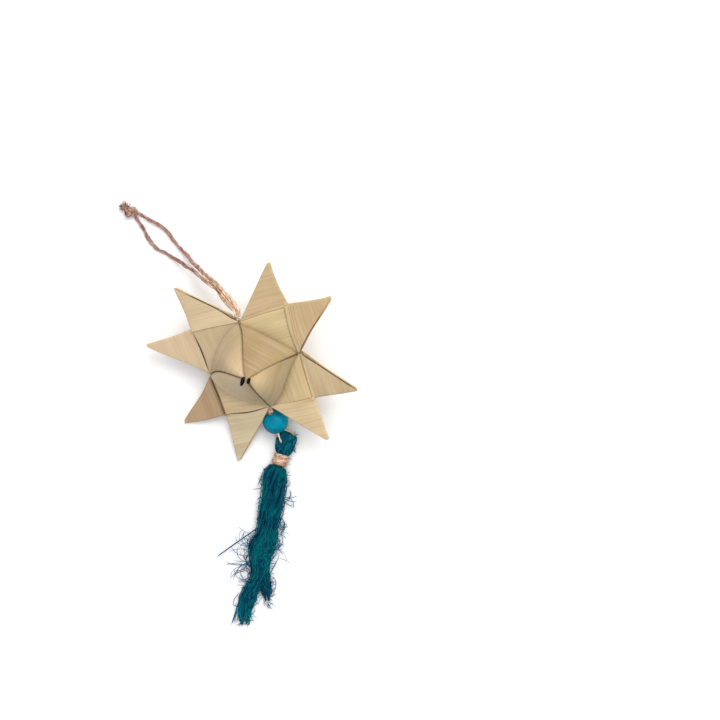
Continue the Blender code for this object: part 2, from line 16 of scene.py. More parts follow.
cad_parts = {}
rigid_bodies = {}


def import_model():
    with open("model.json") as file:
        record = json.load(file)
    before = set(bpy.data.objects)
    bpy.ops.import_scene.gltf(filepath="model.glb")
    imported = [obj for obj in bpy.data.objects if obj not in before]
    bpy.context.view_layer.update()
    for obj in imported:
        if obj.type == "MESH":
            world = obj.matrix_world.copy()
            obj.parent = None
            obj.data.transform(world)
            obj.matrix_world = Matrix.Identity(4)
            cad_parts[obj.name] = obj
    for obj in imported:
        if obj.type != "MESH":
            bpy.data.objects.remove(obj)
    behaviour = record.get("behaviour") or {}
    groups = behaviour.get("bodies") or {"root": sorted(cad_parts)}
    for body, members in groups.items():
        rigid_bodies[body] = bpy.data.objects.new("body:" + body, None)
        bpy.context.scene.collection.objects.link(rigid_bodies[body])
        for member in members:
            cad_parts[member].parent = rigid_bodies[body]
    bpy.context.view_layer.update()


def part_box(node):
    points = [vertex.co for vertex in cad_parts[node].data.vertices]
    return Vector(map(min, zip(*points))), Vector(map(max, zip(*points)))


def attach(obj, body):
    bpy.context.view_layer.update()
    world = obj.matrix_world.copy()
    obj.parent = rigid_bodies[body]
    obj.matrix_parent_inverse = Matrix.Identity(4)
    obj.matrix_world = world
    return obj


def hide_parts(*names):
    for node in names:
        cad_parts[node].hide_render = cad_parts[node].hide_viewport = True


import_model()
MM = 0.001

# %% [markdown]
# The star lies tipped on its back cones. Everything on it is easier to shape in the star's own
# frame, flat in XY with the front up, so one matrix carries points from there to the floor.
# Its turn, lean and centre repeat the model's, and the bead's place comes from the frame.

# %% Where the star lies
STAR_CENTRE = Vector((0.00178, 0.03911, 0.01789))
STAR_TURN = 15.965
STAR_LEAN = 21.949
DOWNHILL = -123.913


def spin(degrees, axis):
    return Matrix.Rotation(radians(degrees), 4, axis)


tip_axis = Vector((-sin(radians(DOWNHILL)), cos(radians(DOWNHILL)), 0.0))
POSE = Matrix.Translation(STAR_CENTRE) @ spin(STAR_LEAN, tip_axis) @ spin(STAR_TURN, "Z")
low, high = [Vector(corner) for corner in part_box("bead")]
BEAD_CENTRE = (low + high) / 2
print("bead at", [round(value, 4) for value in BEAD_CENTRE])

# %% [markdown]
# The sizes of the weave are few: the strip's width and thickness, the room for the twine, and
# how far the two crossing leaves stand apart. The rest follows from them.

# %% Sizes of the weave and the twine
BAND = 22.0 * MM
LEAF = 0.4 * MM
EDGE = 0.35 * MM
GAP = 0.3 * MM
TWINE = 1.6 * MM
STRAND = (TWINE + GAP) / 2
INNER = TWINE / 2 + GAP + LEAF / 2
OUTER = INNER + LEAF + EDGE
BLOCK_HALF = (INNER + OUTER) / 2
MOUTH = 1.5 * MM
TIP_OPEN = 1.1 * MM
TIP_WIDTH = 0.9 * MM
FOLD_START = 1.2 * MM
TIP_REACH = ((1.06, 1.18), (0.97, 0.975), (0.975, 0.98), (1.0, 0.99))
TIP_LEAN = ((0.02, -0.01), (0.035, 0.055), (-0.06, 0.06), (0.11, 0.09))
CONE_TOP = (19.5 * MM, 18.1 * MM)
CONE_RISE = 4.8 * MM
CONE_FEET = 0.965
CONE_FOOT = 0.5 * MM
CONE_FUSED = 0.72
CONE_TIP = 0.022
CONE_DRAWN = Vector((1.65 * MM, -1.35 * MM, 0.0))
SEAM = LEAF / 2 + 0.12 * MM
print("leaf levels", round(INNER / MM, 2), round(OUTER / MM, 2), "mm")

# %% [markdown]
# A photographer lays such a piece on white paper and shoots it from straight above, under a
# large soft light. The camera looks down from the height that gives the photograph's frame.

# %% Camera, floor and light
CAMERA_PLACE = (0.0503, 0.04117, 0.4755)
LENS = 50.0
SENSOR = 36.0
PHOTO_PIXELS = 720.0
TASSEL_PIXEL = 0.47 * MM
FLOOR_DROP = 0.0002
scene = bpy.context.scene
scene.view_settings.view_transform = "Standard"
camera_data = bpy.data.cameras.new("camera")
camera_data.lens = LENS
camera_data.sensor_width = SENSOR
camera_data.clip_start = 0.01
camera = bpy.data.objects.new("camera", camera_data)
camera.location = CAMERA_PLACE
scene.collection.objects.link(camera)
scene.camera = camera


def soft_light(name, place, size, power, colour=(1.0, 1.0, 1.0)):
    data = bpy.data.lights.new(name, "AREA")
    data.shape = "DISK"
    data.size = size
    data.energy = power
    data.color = colour
    lamp = bpy.data.objects.new(name, data)
    lamp.location = place
    aim = Vector((0.02, 0.03, 0.0)) - Vector(place)
    lamp.rotation_euler = aim.to_track_quat("-Z", "Y").to_euler()
    scene.collection.objects.link(lamp)


soft_light("window", (0.30, 0.55, 0.85), 0.6, 6.0, (1.0, 0.98, 0.95))
soft_light("ceiling", (-0.05, 0.12, 1.2), 1.1, 6.0)
world = bpy.data.worlds.new("studio")
world.use_nodes = True
world.node_tree.nodes["Background"].inputs["Color"].default_value = (0.97, 0.98, 1.0, 1.0)
world.node_tree.nodes["Background"].inputs["Strength"].default_value = 0.55
scene.world = world
bpy.ops.mesh.primitive_plane_add(size=6.0, location=(0.0, 0.0, -FLOOR_DROP))
floor = bpy.context.object
floor.name = "paper"


def seen_at(across_px, down_px, z):
    """A place on the photograph as a point at a height."""
    pixel = (CAMERA_PLACE[2] - z) * SENSOR / LENS / PHOTO_PIXELS
    east, north = across_px - PHOTO_PIXELS / 2, PHOTO_PIXELS / 2 - down_px
    return Vector((CAMERA_PLACE[0] + east * pixel, CAMERA_PLACE[1] + north * pixel, z))


pixel_width = (seen_at(1, 0, 0) - seen_at(0, 0, 0)).x
print("camera at", CAMERA_PLACE, "and a pixel is", round(pixel_width / MM, 3), "mm")

# %% [markdown]
# Materials are written as sums. A Shade wraps one socket, so that 1 - mask or a * 0.3 + b adds
# the Math nodes, and a Finish holds one material and adds every other kind of node.

# %% A small language for materials


class Shade:
    """One value in a material."""

    def __init__(self, tree, socket):
        self.tree = tree
        self.socket = socket

    def joined(self, operation, first, second):
        node = self.tree.nodes.new("ShaderNodeMath")
        node.operation = operation
        for socket, value in zip(node.inputs, (first, second)):
            if isinstance(value, Shade):
                self.tree.links.new(value.socket, socket)
            else:
                socket.default_value = value
        return Shade(self.tree, node.outputs[0])

    def __add__(self, other):
        return self.joined("ADD", self, other)

    def __radd__(self, other):
        return self.joined("ADD", other, self)

    def __sub__(self, other):
        return self.joined("SUBTRACT", self, other)

    def __rsub__(self, other):
        return self.joined("SUBTRACT", other, self)

    def __mul__(self, other):
        return self.joined("MULTIPLY", self, other)

    def __rmul__(self, other):
        return self.joined("MULTIPLY", other, self)


class Finish:
    """One material, built up node by node."""

    def __init__(self, slot, **constants):
        self.slot = slot
        self.material = bpy.data.materials.new(slot + "_finish")
        self.material.use_nodes = True
        self.tree = self.material.node_tree
        self.shader = self.tree.nodes["Principled BSDF"]
        for socket, value in constants.items():
            self.shader.inputs[socket.replace("_", " ")].default_value = value

    def node(self, kind, settings, sockets, output=0):
        node = self.tree.nodes.new("ShaderNode" + kind)
        for key, value in settings.items():
            if key == "stops":
                self.set_stops(node.color_ramp, value)
            else:
                setattr(node, key, value)
        for key, value in sockets.items():
            if isinstance(value, Shade):
                self.tree.links.new(value.socket, node.inputs[key])
            else:
                node.inputs[key].default_value = value
        return Shade(self.tree, node.outputs[output])

    def set_stops(self, ramp, stops):
        while len(ramp.elements) < len(stops):
            ramp.elements.new(0.5)
        for element, (place, colour) in zip(ramp.elements, stops):
            element.position = place
            element.color = (*colour, 1.0)

    def ramp(self, value, *stops):
        return self.node("ValToRGB", {"stops": stops}, {"Fac": value})

    def mask(self, value, start, end):
        """0 below start, 1 above end, smooth between."""
        return self.node("MapRange", {"interpolation_type": "SMOOTHSTEP"},
                         {"Value": value, "From Min": start, "From Max": end})

    def mix(self, amount, first, second, blend="MIX"):
        return self.node("Mix", {"data_type": "RGBA", "blend_type": blend},
                         {0: amount, 6: first, 7: second}, output=2)

    def speckle(self, vector, scale, detail=2.0):
        return self.node("TexNoise", {}, {"Vector": vector, "Scale": scale, "Detail": detail})

    def stretched(self, vector, scale):
        return self.node("Mapping", {}, {"Vector": vector, "Scale": scale})

    def grain(self):
        return self.node("UVMap", {"uv_map": "grain"}, {})

    def place(self):
        return self.node("TexCoord", {}, {}, output=3)

    def fact(self, name):
        return self.node("Attribute", {"attribute_name": name}, {}, output=2)

    def tint(self):
        return self.node("Attribute", {"attribute_name": "tone"}, {}, output=0)

    def drive(self, socket, value):
        self.tree.links.new(value.socket, self.shader.inputs[socket])

    def relief(self, height, depth):
        self.drive("Normal", self.node("Bump", {}, {"Height": height, "Distance": depth}))


print("material helpers ready")

# %% [markdown]
# Dried palm leaf is straw coloured and slightly silky. Its veins run straight along the leaf,
# about a millimetre apart, with finer lines between them, and cut or folded edges turn brown.
# The pattern reads the grain map, in metres, so it turns with each leaf as it is folded. It is
# nearly white and multiplies tone, the colour of each leaf with the light and shade of each part
# painted in, and rim is the distance to its edge.

# %% Palm leaf finish
leaf = Finish("palm_leaf")
grain = leaf.grain()
spot = leaf.place()
vein = leaf.speckle(leaf.stretched(grain, (14.0, 900.0, 1.0)), 1.0, 2.0)
fibre_line = leaf.speckle(leaf.stretched(grain, (45.0, 2000.0, 1.0)), 1.0, 3.0)
broad = leaf.speckle(leaf.stretched(grain, (16.0, 190.0, 1.0)), 1.0, 2.0)
patch = leaf.speckle(spot, 60.0, 3.0)
rim = leaf.fact("rim")
shade = leaf.ramp(broad * 0.6 + patch * 0.4,
                  (0.30, (0.78, 0.75, 0.69)), (0.5, (0.90, 0.89, 0.87)), (0.72, (1.0, 1.0, 1.0)))
straw = leaf.mix(1.0, leaf.tint(), shade, "MULTIPLY")
lined = leaf.mix(leaf.mask(vein, 0.54, 0.78) * 0.36, straw, (0.36, 0.24, 0.12, 1.0))
dusky = leaf.mix(leaf.mask(fibre_line, 0.50, 0.26) * 0.30, lined, (0.34, 0.22, 0.11, 1.0))
bright = leaf.mix(leaf.mask(fibre_line, 0.52, 0.74) * 0.28, dusky, (0.84, 0.70, 0.46, 1.0))
# Brown where rim is small: along the leaves' cut and folded edges, and in a band beside each cone seam
worn = leaf.mask(rim + (patch - 0.5) * 0.0003, 0.00026, 0.00006)
leaf.drive("Base Color", leaf.mix(worn * 0.7, bright, (0.22, 0.115, 0.05, 1.0)))
leaf.drive("Roughness", vein * 0.16 + patch * 0.06 + 0.46)
leaf.relief(vein * 0.75 + fibre_line * 0.45, 0.00014)
print("leaf finish has", len(leaf.tree.nodes), "nodes")

# %% [markdown]
# Jute twine is two loosely spun plies of coarse fibre. tone runs from the pinkish tan of the
# loop to the paler gold beside the star, and rim makes single fibres darker or brighter.

# %% Jute twine finish
jute = Finish("jute_twine", Roughness=0.8)
strands = jute.speckle(jute.stretched(jute.grain(), (260.0, 2600.0, 1.0)), 1.0, 3.0)
uneven = strands * 0.7 + jute.speckle(jute.place(), 420.0, 2.0) * 0.3
pink = jute.ramp(uneven, (0.36, (0.15, 0.06, 0.058)), (0.50, (0.34, 0.165, 0.13)), (0.66, (0.60, 0.38, 0.28)))
gold = jute.ramp(uneven, (0.34, (0.36, 0.19, 0.10)), (0.50, (0.72, 0.49, 0.33)), (0.66, (0.95, 0.83, 0.68)))
toned = jute.mix(jute.fact("tone"), pink, gold)
jute.drive("Base Color", jute.mix(1.0, toned, jute.fact("rim"), "MULTIPLY"))
jute.relief(strands, 0.00018)
print("jute finish has", len(jute.tree.nodes), "nodes")

# %% [markdown]
# Dyed jute in the tassel is deep teal. Each fibre took the dye a little differently, from navy
# to sea green, so the colour follows the island that each fibre is in the mesh.

# %% Dyed fibre, thread and bead finishes
DYE = ((0.18, (0.0005, 0.014, 0.062)), (0.40, (0.0005, 0.054, 0.105)),
       (0.60, (0.0005, 0.115, 0.150)), (0.85, (0.0005, 0.200, 0.190)))


def dyed_finish(depth, navy=0.0):
    """The dye with its colours scaled by depth, as painted shade where the fibres are packed and painted
    light on loose hairs, and moved nearer to navy by navy.
    """
    finish = Finish("dyed_fibre", Roughness=0.85, Specular_IOR_Level=0.08)
    island = finish.node("NewGeometry", {}, {}, output=8)
    mottle = finish.speckle(finish.place(), 300.0, 3.0)
    stops = [(place, tuple(part * depth for part in colour)) for place, colour in DYE]
    lock = finish.speckle(finish.place(), 130.0, 1.0)
    took = island * 0.62 + lock * 0.5 + mottle * 0.2 - (0.15 + navy)
    finish.drive("Base Color", finish.ramp(took, *stops))
    finish.relief(mottle, 0.0001)
    return finish


# Lit and shaded copies of the dye: the core darker as painted shade, the loose hairs brighter as painted
# light and nearer to navy
dyed = dyed_finish(1.0)
dyed_painted_shade = dyed_finish(0.5)
dyed_navy_painted_light = dyed_finish(2.4, 0.24)

thread = Finish("dark_thread", Roughness=0.9, Specular_IOR_Level=0.1)
lint = thread.speckle(thread.place(), 1500.0, 2.0)
black = thread.ramp(lint, (0.3, (0.003, 0.002, 0.006)), (0.7, (0.022, 0.016, 0.026)))
thread.drive("Base Color", black)
thread.relief(lint, 0.00008)

painted = Finish("painted_bead", Coat_Weight=0.05, Coat_Roughness=0.12, Specular_IOR_Level=0.05)
ring = painted.speckle(painted.stretched(painted.place(), (90.0, 90.0, 900.0)), 1.0, 3.0)
cloud = painted.speckle(painted.place(), 230.0, 3.0)
teal = painted.ramp(ring * 0.4 + cloud * 0.6,
                    (0.35, (0.0, 0.135, 0.250)), (0.50, (0.0, 0.215, 0.325)), (0.66, (0.0, 0.32, 0.39)))
painted.drive("Base Color", teal)
painted.drive("Roughness", cloud * 0.14 + 0.36)
painted.relief(ring, 0.00003)
print("finishes:", [finish.material.name for finish in (leaf, jute, dyed, thread, painted)])

# %% [markdown]
# Almost every piece here is a sheet or a tube, and both start as a flat grid: each of its points
# is asked where it belongs. place(a, b) answers with a point, its place in the grain and two
# facts, tone and rim, that the finishes read.

# %% Bent grids


def new_net():
    net = bmesh.new()
    net.loops.layers.uv.new("grain")
    net.verts.layers.float_color.new("tone")
    net.verts.layers.float.new("rim")
    return net


def bent_grid(net, along, across, place):
    made = bmesh.ops.create_grid(net, x_segments=along, y_segments=across, size=1.0)["verts"]
    pattern = net.loops.layers.uv["grain"]
    tone_layer = net.verts.layers.float_color["tone"]
    rim_layer = net.verts.layers.float["rim"]
    grains = {}
    for vertex in made:
        point, where, tone_value, rim_value = place((vertex.co.x + 1) / 2, (vertex.co.y + 1) / 2)
        vertex.co = point
        if isinstance(tone_value, float):
            tone_value = (tone_value, tone_value, tone_value)
        vertex[tone_layer] = (*tone_value, 1.0)
        vertex[rim_layer] = rim_value
        grains[vertex] = where
    for face in {face for vertex in made for face in vertex.link_faces}:
        face.smooth = True
        for loop in face.loops:
            loop[pattern].uv = grains[loop.vert]
    return made


def piece_from(net, name, finish, nodes=()):
    mesh = bpy.data.meshes.new(name)
    net.to_mesh(mesh)
    net.free()
    mesh.materials.append(finish.material)
    piece = bpy.data.objects.new(name, mesh)
    scene.collection.objects.link(piece)
    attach(piece, "root")
    if nodes:
        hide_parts(*nodes)
    return piece


def smooth(share):
    share = min(1.0, max(0.0, share))
    return share * share * (3.0 - 2.0 * share)


def blend(first, second, share):
    return first + (second - first) * share


def around(side, up, angle):
    """The direction at an angle from side towards up."""
    return side * cos(angle) + up * sin(angle)


def spline(a, b, c, d, t):
    """A share t of the smooth way from b to c, where a comes before them and d after."""
    return 0.5 * ((2 * b) + (c - a) * t + (2 * a - 5 * b + 4 * c - d) * t * t
                  + (3 * b - a - 3 * c + d) * t ** 3)


def through(points, step):
    """Points about a step apart along a smooth curve through the given points."""
    points = [Vector(point) for point in points]
    padded = [points[0] * 2 - points[1]] + points + [points[-1] * 2 - points[-2]]
    found = []
    for i in range(1, len(padded) - 2):
        a, b, c, d = padded[i - 1:i + 3]
        count = max(1, round((c - b).length / step))
        found += [spline(a, b, c, d, k / count) for k in range(count)]
    return found + [points[-1]]


def seen_route(spots, step):
    """A smooth route through places on the photograph, each with its height in millimetres."""
    return through([seen_at(x, y, z * MM) for x, y, z in spots], step)


print("grids ready")

# %% [markdown]
# Twine is laid up from two plies that wind round each other once in about 8 mm. Each ply is a
# tube whose middle circles the twine's route, with some slack in its turns. Loose fibres stand off
# it, longer and thicker where the twine is pale and worn, beside the star.

# %% Twine
TWINE_TURN = 8.4 * MM
PLY_RADIUS = 0.30
PLY_OFFSET = 0.2
UP = Vector((0.0, 0.0, 1.0))


def frames_along(path):
    """At each point of a route: its direction and two directions across, without sudden twist."""
    frames = []
    side = None
    for i in range(len(path)):
        ahead = (path[min(i + 1, len(path) - 1)] - path[max(i - 1, 0)]).normalized()
        if side is None:
            side = ahead.orthogonal()
        side = (side - ahead * side.dot(ahead)).normalized()
        frames.append((ahead, side, ahead.cross(side)))
    return frames


def tone_at(tone, share):
    """A twine's tone is one number, or a function of the share of its way."""
    return tone(share) if callable(tone) else tone


def route_length(path):
    return sum((second - first).length for first, second in zip(path, path[1:]))


def lay_tube(net, path, radius, tone, sides=7, turn_length=0.0, offset=0.0, start=0.0, bright=1.0):
    """A tube along the route, or a ply that winds round it at an offset."""
    frames = frames_along(path)
    reach = [0.0]
    for first, second in zip(path, path[1:]):
        reach.append(reach[-1] + (second - first).length)

    def place(a, b):
        i = round(a * (len(path) - 1))
        ahead, side, up = frames[i]
        centre = path[i]
        if turn_length:
            slack = 1.6 * noise.noise(Vector((reach[i] * 130.0, turn_length * 900.0, 0.5)))
            centre = centre + around(side, up, start + 2 * pi * reach[i] / turn_length + slack) * offset
        angle = 2 * pi * b + reach[i] * 500.0
        ends = min(1.0, min(i, len(path) - 1 - i) / 1.5 + 0.35)
        here = radius * ends * (1.0 + 0.12 * noise.noise(centre * 700.0))
        point = centre + around(side, up, angle) * here
        where = (reach[i] + path[0].x * 7.0 + path[0].y * 11.0, b * 2 * pi * radius)
        return point, where, tone_at(tone, reach[i] / reach[-1]), bright

    return bent_grid(net, len(path) - 1, sides, place)


def lifted(points, least):
    """The points, raised together until none lies below a least height."""
    lift = UP * max(0.0, least - min(point.z for point in points))
    return [point + lift for point in points]


def lay_twine(net, path, diameter, tone, seed, hairs_per_mm=0.8, turn_length=TWINE_TURN, fine_per_mm=0.0):
    """Two plies, then fine fibres along their surface and hairs that stand off it."""
    for ply in (0.0, pi):
        lay_tube(net, path, diameter * PLY_RADIUS, tone, 8, turn_length, diameter * PLY_OFFSET, ply)
    draw = random.Random(seed)
    frames = frames_along(path)
    total = route_length(path)
    for _ in range(int(total / MM * fine_per_mm)):
        first = draw.randrange(0, len(path) - 12)
        tone_here = tone_at(tone, first / len(path))
        if draw.random() > 0.12 + 0.88 * tone_here:
            continue
        start, winding = draw.uniform(0, 2 * pi), draw.uniform(-0.02, 0.09)
        stand = diameter * draw.uniform(0.40, 0.60)
        points = []
        for i in range(first, min(len(path), first + draw.randrange(10, 26)), 2):
            ahead, side, up = frames[i]
            points.append(path[i] + around(side, up, start + winding * (i - first)) * stand)
            stand = stand * draw.uniform(0.93, 1.08)
        points = lifted(points, 0.12 * MM)
        bright = draw.choice((0.35, 0.8, 1.2, 1.5, 1.7))
        lay_tube(net, points, draw.uniform(0.08, 0.16) * MM, tone_here, 4, bright=bright)
    for _ in range(int(total / MM * hairs_per_mm)):
        i = draw.randrange(2, len(path) - 3)
        tone_here = tone_at(tone, i / len(path))
        ahead, side, up = frames[i]
        out = around(side, up, draw.uniform(0, 2 * pi))
        way = ahead * draw.choice((-1, 1)) * draw.uniform(1.0, 3.0) + out * draw.uniform(0.2, 0.8)
        way.normalize()
        root = path[i] + out * diameter * 0.45
        length = draw.uniform(0.8, 2.4) * MM * (1.0 + tone_here)
        bow = out.cross(ahead) * draw.uniform(-0.3, 0.3) * length
        hair = [root + way * length * t + bow * t * t for t in (0.0, 0.35, 0.7, 1.0)]
        lay_tube(net, lifted(hair, 0.1 * MM), (0.045 + 0.035 * tone_here) * MM, tone_here, 3)


print("twine turns once in", round(TWINE_TURN / MM, 1), "mm")

# %% [markdown]
# The loop's two strands leave the block between two points, fall to the table and meet again in
# the knot. Their routes are the model's own, point for point.

# %% The hanging loop
LEAVE = BAND + 1.0 * MM
RIGHT_ROUTE = (
    (0.0005, 0.0032, 1.03), (-0.0022, 0.0068, 0.975), (-0.0053, 0.0102, 0.88), (-0.0074, 0.0127, 0.79),
    (-0.0104, 0.0157, 0.67), (-0.0139, 0.0182, 0.53), (-0.0172, 0.0211, 0.40), (-0.0202, 0.0240, 0.27),
    (-0.0236, 0.0270, 0.15), (-0.0269, 0.0308, 0.06), (-0.0302, 0.0343, 0.015), (-0.0329, 0.0375, 0.0),
    (-0.0350, 0.0406, 0.0), (-0.0374, 0.0429, 0.0), (-0.0399, 0.0448, 0.0), (-0.0427, 0.0463, 0.0),
    (-0.0456, 0.0480, 0.0), (-0.0485, 0.0499, 0.0), (-0.0506, 0.0511, 0.0),
)
LEFT_ROUTE = (
    (-0.0013, 0.0026, 1.03), (-0.0037, 0.0056, 0.985), (-0.0068, 0.0089, 0.89), (-0.0088, 0.0115, 0.80),
    (-0.0116, 0.0143, 0.66), (-0.0151, 0.0166, 0.525), (-0.0189, 0.0197, 0.40), (-0.0224, 0.0226, 0.30),
    (-0.0266, 0.0248, 0.18), (-0.0294, 0.0270, 0.10), (-0.0331, 0.0293, 0.03), (-0.0367, 0.0316, 0.0),
    (-0.0406, 0.0334, 0.0), (-0.0431, 0.0359, 0.0), (-0.0452, 0.0390, 0.0), (-0.0470, 0.0428, 0.0),
    (-0.0493, 0.0462, 0.0), (-0.0511, 0.0489, 0.0),
)
KNOT_PLACE = (-0.0539, 0.0511, 2.2 * MM)
top_exit = POSE @ Vector((0.0, LEAVE, 0.0))
floor_line = TWINE / 2


def strand_tone(share):
    """Pale gold by the star, pinkish tan towards the knot."""
    return 1.0 - smooth((share - 0.12) / 0.4)


for name, route, where in (("right", RIGHT_ROUTE, STRAND), ("left", LEFT_ROUTE, -STRAND)):
    points = [POSE @ Vector((where, LEAVE, 0.0))]
    for east, north, share in route:
        height = floor_line + (top_exit.z - floor_line) * share
        points.append(Vector((top_exit.x + east, top_exit.y + north, height)))
    path = through(points, 0.5 * MM)
    net = new_net()
    lay_twine(net, path, TWINE, strand_tone, 11 + len(name), 1.5, fine_per_mm=2.6)
    strand = piece_from(net, "loop_" + name, jute, ["hanging_cord_" + name])
    length = route_length(path)
    print(strand.name, "is", round(length / MM, 1), "mm long")

# %% [markdown]
# The doubled twine is closed by an overhand knot. Seen from above it is a lump of three crossing
# turns, with a short brush of frayed tufts that fans out away from the loop. Each tuft is a small
# bundle of fibres, because a tuft drawn as one cone would look solid.

# %% The knot and its frayed ends
KNOT_TONE = 0.1
PRETZEL_POINTS = 72
knot_centre = Vector((top_exit.x, top_exit.y, 0.0)) + Vector(KNOT_PLACE)
knot_turn = spin(-30.0, "Z").to_3x3()
pretzel = []
for i in range(PRETZEL_POINTS):
    t = 2 * pi * i / PRETZEL_POINTS
    point = Vector((sin(t) + 2 * sin(2 * t), cos(t) - 2 * cos(2 * t), -sin(3 * t)))
    point = Vector((point.x * 0.66, point.y * 0.60, point.z * 0.85)) * MM
    pretzel.append(knot_centre + knot_turn @ point)
net = new_net()
lay_twine(net, pretzel + pretzel[:2], TWINE * 1.25, KNOT_TONE, 5, 0.8, 6.5 * MM, 1.2)

# Each tuft's heading in degrees, its reach in millimetres and its number of fibres
TUFTS = ((192.0, 3.0, 8), (176.0, 4.1, 7), (163.0, 4.4, 7), (154.0, 5.1, 9), (143.0, 4.4, 6), (132.0, 4.9, 8),
         (119.0, 3.6, 6), (106.0, 5.2, 9), (88.0, 3.9, 6), (66.0, 4.3, 3), (48.0, 3.2, 5))
draw = random.Random(8)
brush = seen_at(126.4, 209.0, 2.0 * MM)
for degrees, reach, count in TUFTS:
    rise = draw.uniform(-0.15, 0.3)
    for _ in range(count):
        compass = radians(degrees + draw.gauss(0.0, 3.0))
        way = Vector((cos(compass), sin(compass), rise + draw.uniform(-0.06, 0.06)))
        root = brush + Vector((draw.gauss(0.0, 0.3), draw.gauss(0.0, 0.3), draw.gauss(0.0, 0.35))) * MM
        length = draw.uniform(0.6, 0.85) * reach * MM
        bend = Vector((draw.uniform(-1, 1), draw.uniform(-1, 1), draw.uniform(-0.5, 0.5))) * 0.1 * length
        hair = [root + way * length * t + bend * t * t for t in (0.0, 0.4, 0.75, 1.0)]
        for point in hair:
            point.z = max(point.z, 0.15 * MM)
        lay_tube(net, hair, draw.uniform(0.09, 0.16) * MM, KNOT_TONE, 4, bright=draw.uniform(0.6, 1.2))

# A collar over the knot, and the ends of the loop where they go into it
COLLAR = ((131.4, 207.2, 2.4), (133.4, 208.2, 3.4), (135.7, 210.6, 3.7), (135.9, 213.6, 2.8),
          (134.2, 216.0, 1.2))
lay_twine(net, seen_route(COLLAR, 0.5 * MM), 1.5 * MM, KNOT_TONE, 9)
for x, y in ((137.2, 212.0), (136.0, 217.2)):
    tail = ((x, y, 0.9), (x - 1.6, y - 1.6, 1.6), (x - 4.0, y - 3.2, 2.4))
    lay_twine(net, seen_route(tail, 0.4 * MM), 1.5 * MM, KNOT_TONE, 10)
knot = piece_from(net, "knot_with_ends", jute, ["cord_knot"])
print("knot spans", [round(value / MM, 1) for value in knot.dimensions], "mm")

# %% [markdown]
# Between the loop and the tassel the same twine runs through the woven block, down through the
# bead, round inside the tassel's head and back. Only short stretches of it show.

# %% The twine inside
BEAD_RADIUS = 6.0 * MM
BEAD_TURN = -62.0
BEAD_PITCH = -41.0
HEAD_DIAMETER = 9.2 * MM
HEAD_FROM_BEAD = (0.0049, -0.0102)
TASSEL_TURN = -108.4


def heading(degrees, pitch=0.0):
    turn, dip = radians(degrees), radians(pitch)
    return Vector((cos(turn) * cos(dip), sin(turn) * cos(dip), sin(dip)))


bore = heading(BEAD_TURN, BEAD_PITCH)
side = Vector((-bore.y, bore.x, 0.0)).normalized()
head = Vector((BEAD_CENTRE.x + HEAD_FROM_BEAD[0], BEAD_CENTRE.y + HEAD_FROM_BEAD[1], HEAD_DIAMETER / 2))
APART = 0.52 * MM
INNER_TWINE = 0.85 * MM
turn_centre = head.lerp(BEAD_CENTRE, 0.08)
bead_out = BEAD_CENTRE + bore * (BEAD_RADIUS + 0.2 * MM)
onward = (turn_centre - bead_out).normalized()
turn_side = Vector((-onward.y, onward.x, 0.0)).normalized()
star_side = POSE.to_3x3().col[0]
middle_route = [POSE @ Vector((0.0, y, 0.0)) for y in (BAND + 0.7 * MM, 0.5 * BAND, 0.0, -0.5 * BAND)]
middle_route += [POSE @ Vector((0.0, -BAND - out, 0.0)) for out in (0.0, 2.0 * MM)]
inner_right = [point + star_side * APART for point in middle_route]
inner_left = [point - star_side * APART for point in middle_route]
for share in (-1.03, -0.5, 0.0, 0.5, 1.03):
    inner_right.append(BEAD_CENTRE + bore * BEAD_RADIUS * share + side * APART)
    inner_left.append(BEAD_CENTRE + bore * BEAD_RADIUS * share - side * APART)
bend = []
for step in range(7):
    angle = radians(blend(-20.0, 200.0, step / 6))
    bend.append(turn_centre + around(turn_side, onward, angle) * (STRAND + 1.0 * MM))
net = new_net()
inside = through(inner_right + bend + inner_left[::-1], 0.5 * MM)
lay_twine(net, inside, INNER_TWINE, 0.95, 3, 0.3, 9.0 * MM, 0.8)
OVER_HEAD = ((277.4, 431.0, 6.2), (278.6, 435.5, 8.6), (281.2, 442.5, 9.3))
lay_twine(net, seen_route(OVER_HEAD, 0.25 * MM), 0.8 * MM, 1.0, 6)
OVER_SIDE = ((284.6, 429.4, 6.8), (289.6, 431.3, 7.2), (293.4, 434.6, 6.2), (295.4, 438.0, 4.4))
lay_twine(net, seen_route(OVER_SIDE, 0.25 * MM), 1.0 * MM, 0.4, 7)
inner_twine = piece_from(net, "inner_twine", jute, ["bead_cord"])
print("inner twine spans", [round(value / MM, 1) for value in inner_twine.dimensions], "mm")

# %% [markdown]
# Now the leaf. A strip passes under its neighbour on one half of the block and over it on the
# other, at two levels. Beyond the block it is folded into a flat point: two thicknesses of leaf
# joined along one leg and open along the long side, where the photograph shows a double edge.

# %% The lie of a strip


def half_opening(along, across):
    """Half the distance between a point's two leaves."""
    mouth = blend(MOUTH, TIP_OPEN, along) / 2
    mouth = mouth + (BLOCK_HALF - mouth) * (1.0 - smooth(along / 0.45))
    return blend(mouth, TIP_OPEN / 2, smooth(along * BAND / FOLD_START) * across ** 3)


def front_height(x, across):
    if abs(x) <= BAND:
        return blend(INNER, OUTER, smooth((x + EDGE) / (2 * EDGE)))
    along = (abs(x) - BAND) / BAND
    middle = copysign((OUTER - INNER) / 2, x) * (1.0 - along)
    return middle + half_opening(along, across)


def crumple(x, y, depth, seed):
    """A leaf is never quite flat."""
    return depth * noise.noise(Vector((x * 160.0, y * 160.0, seed * 3.7)))
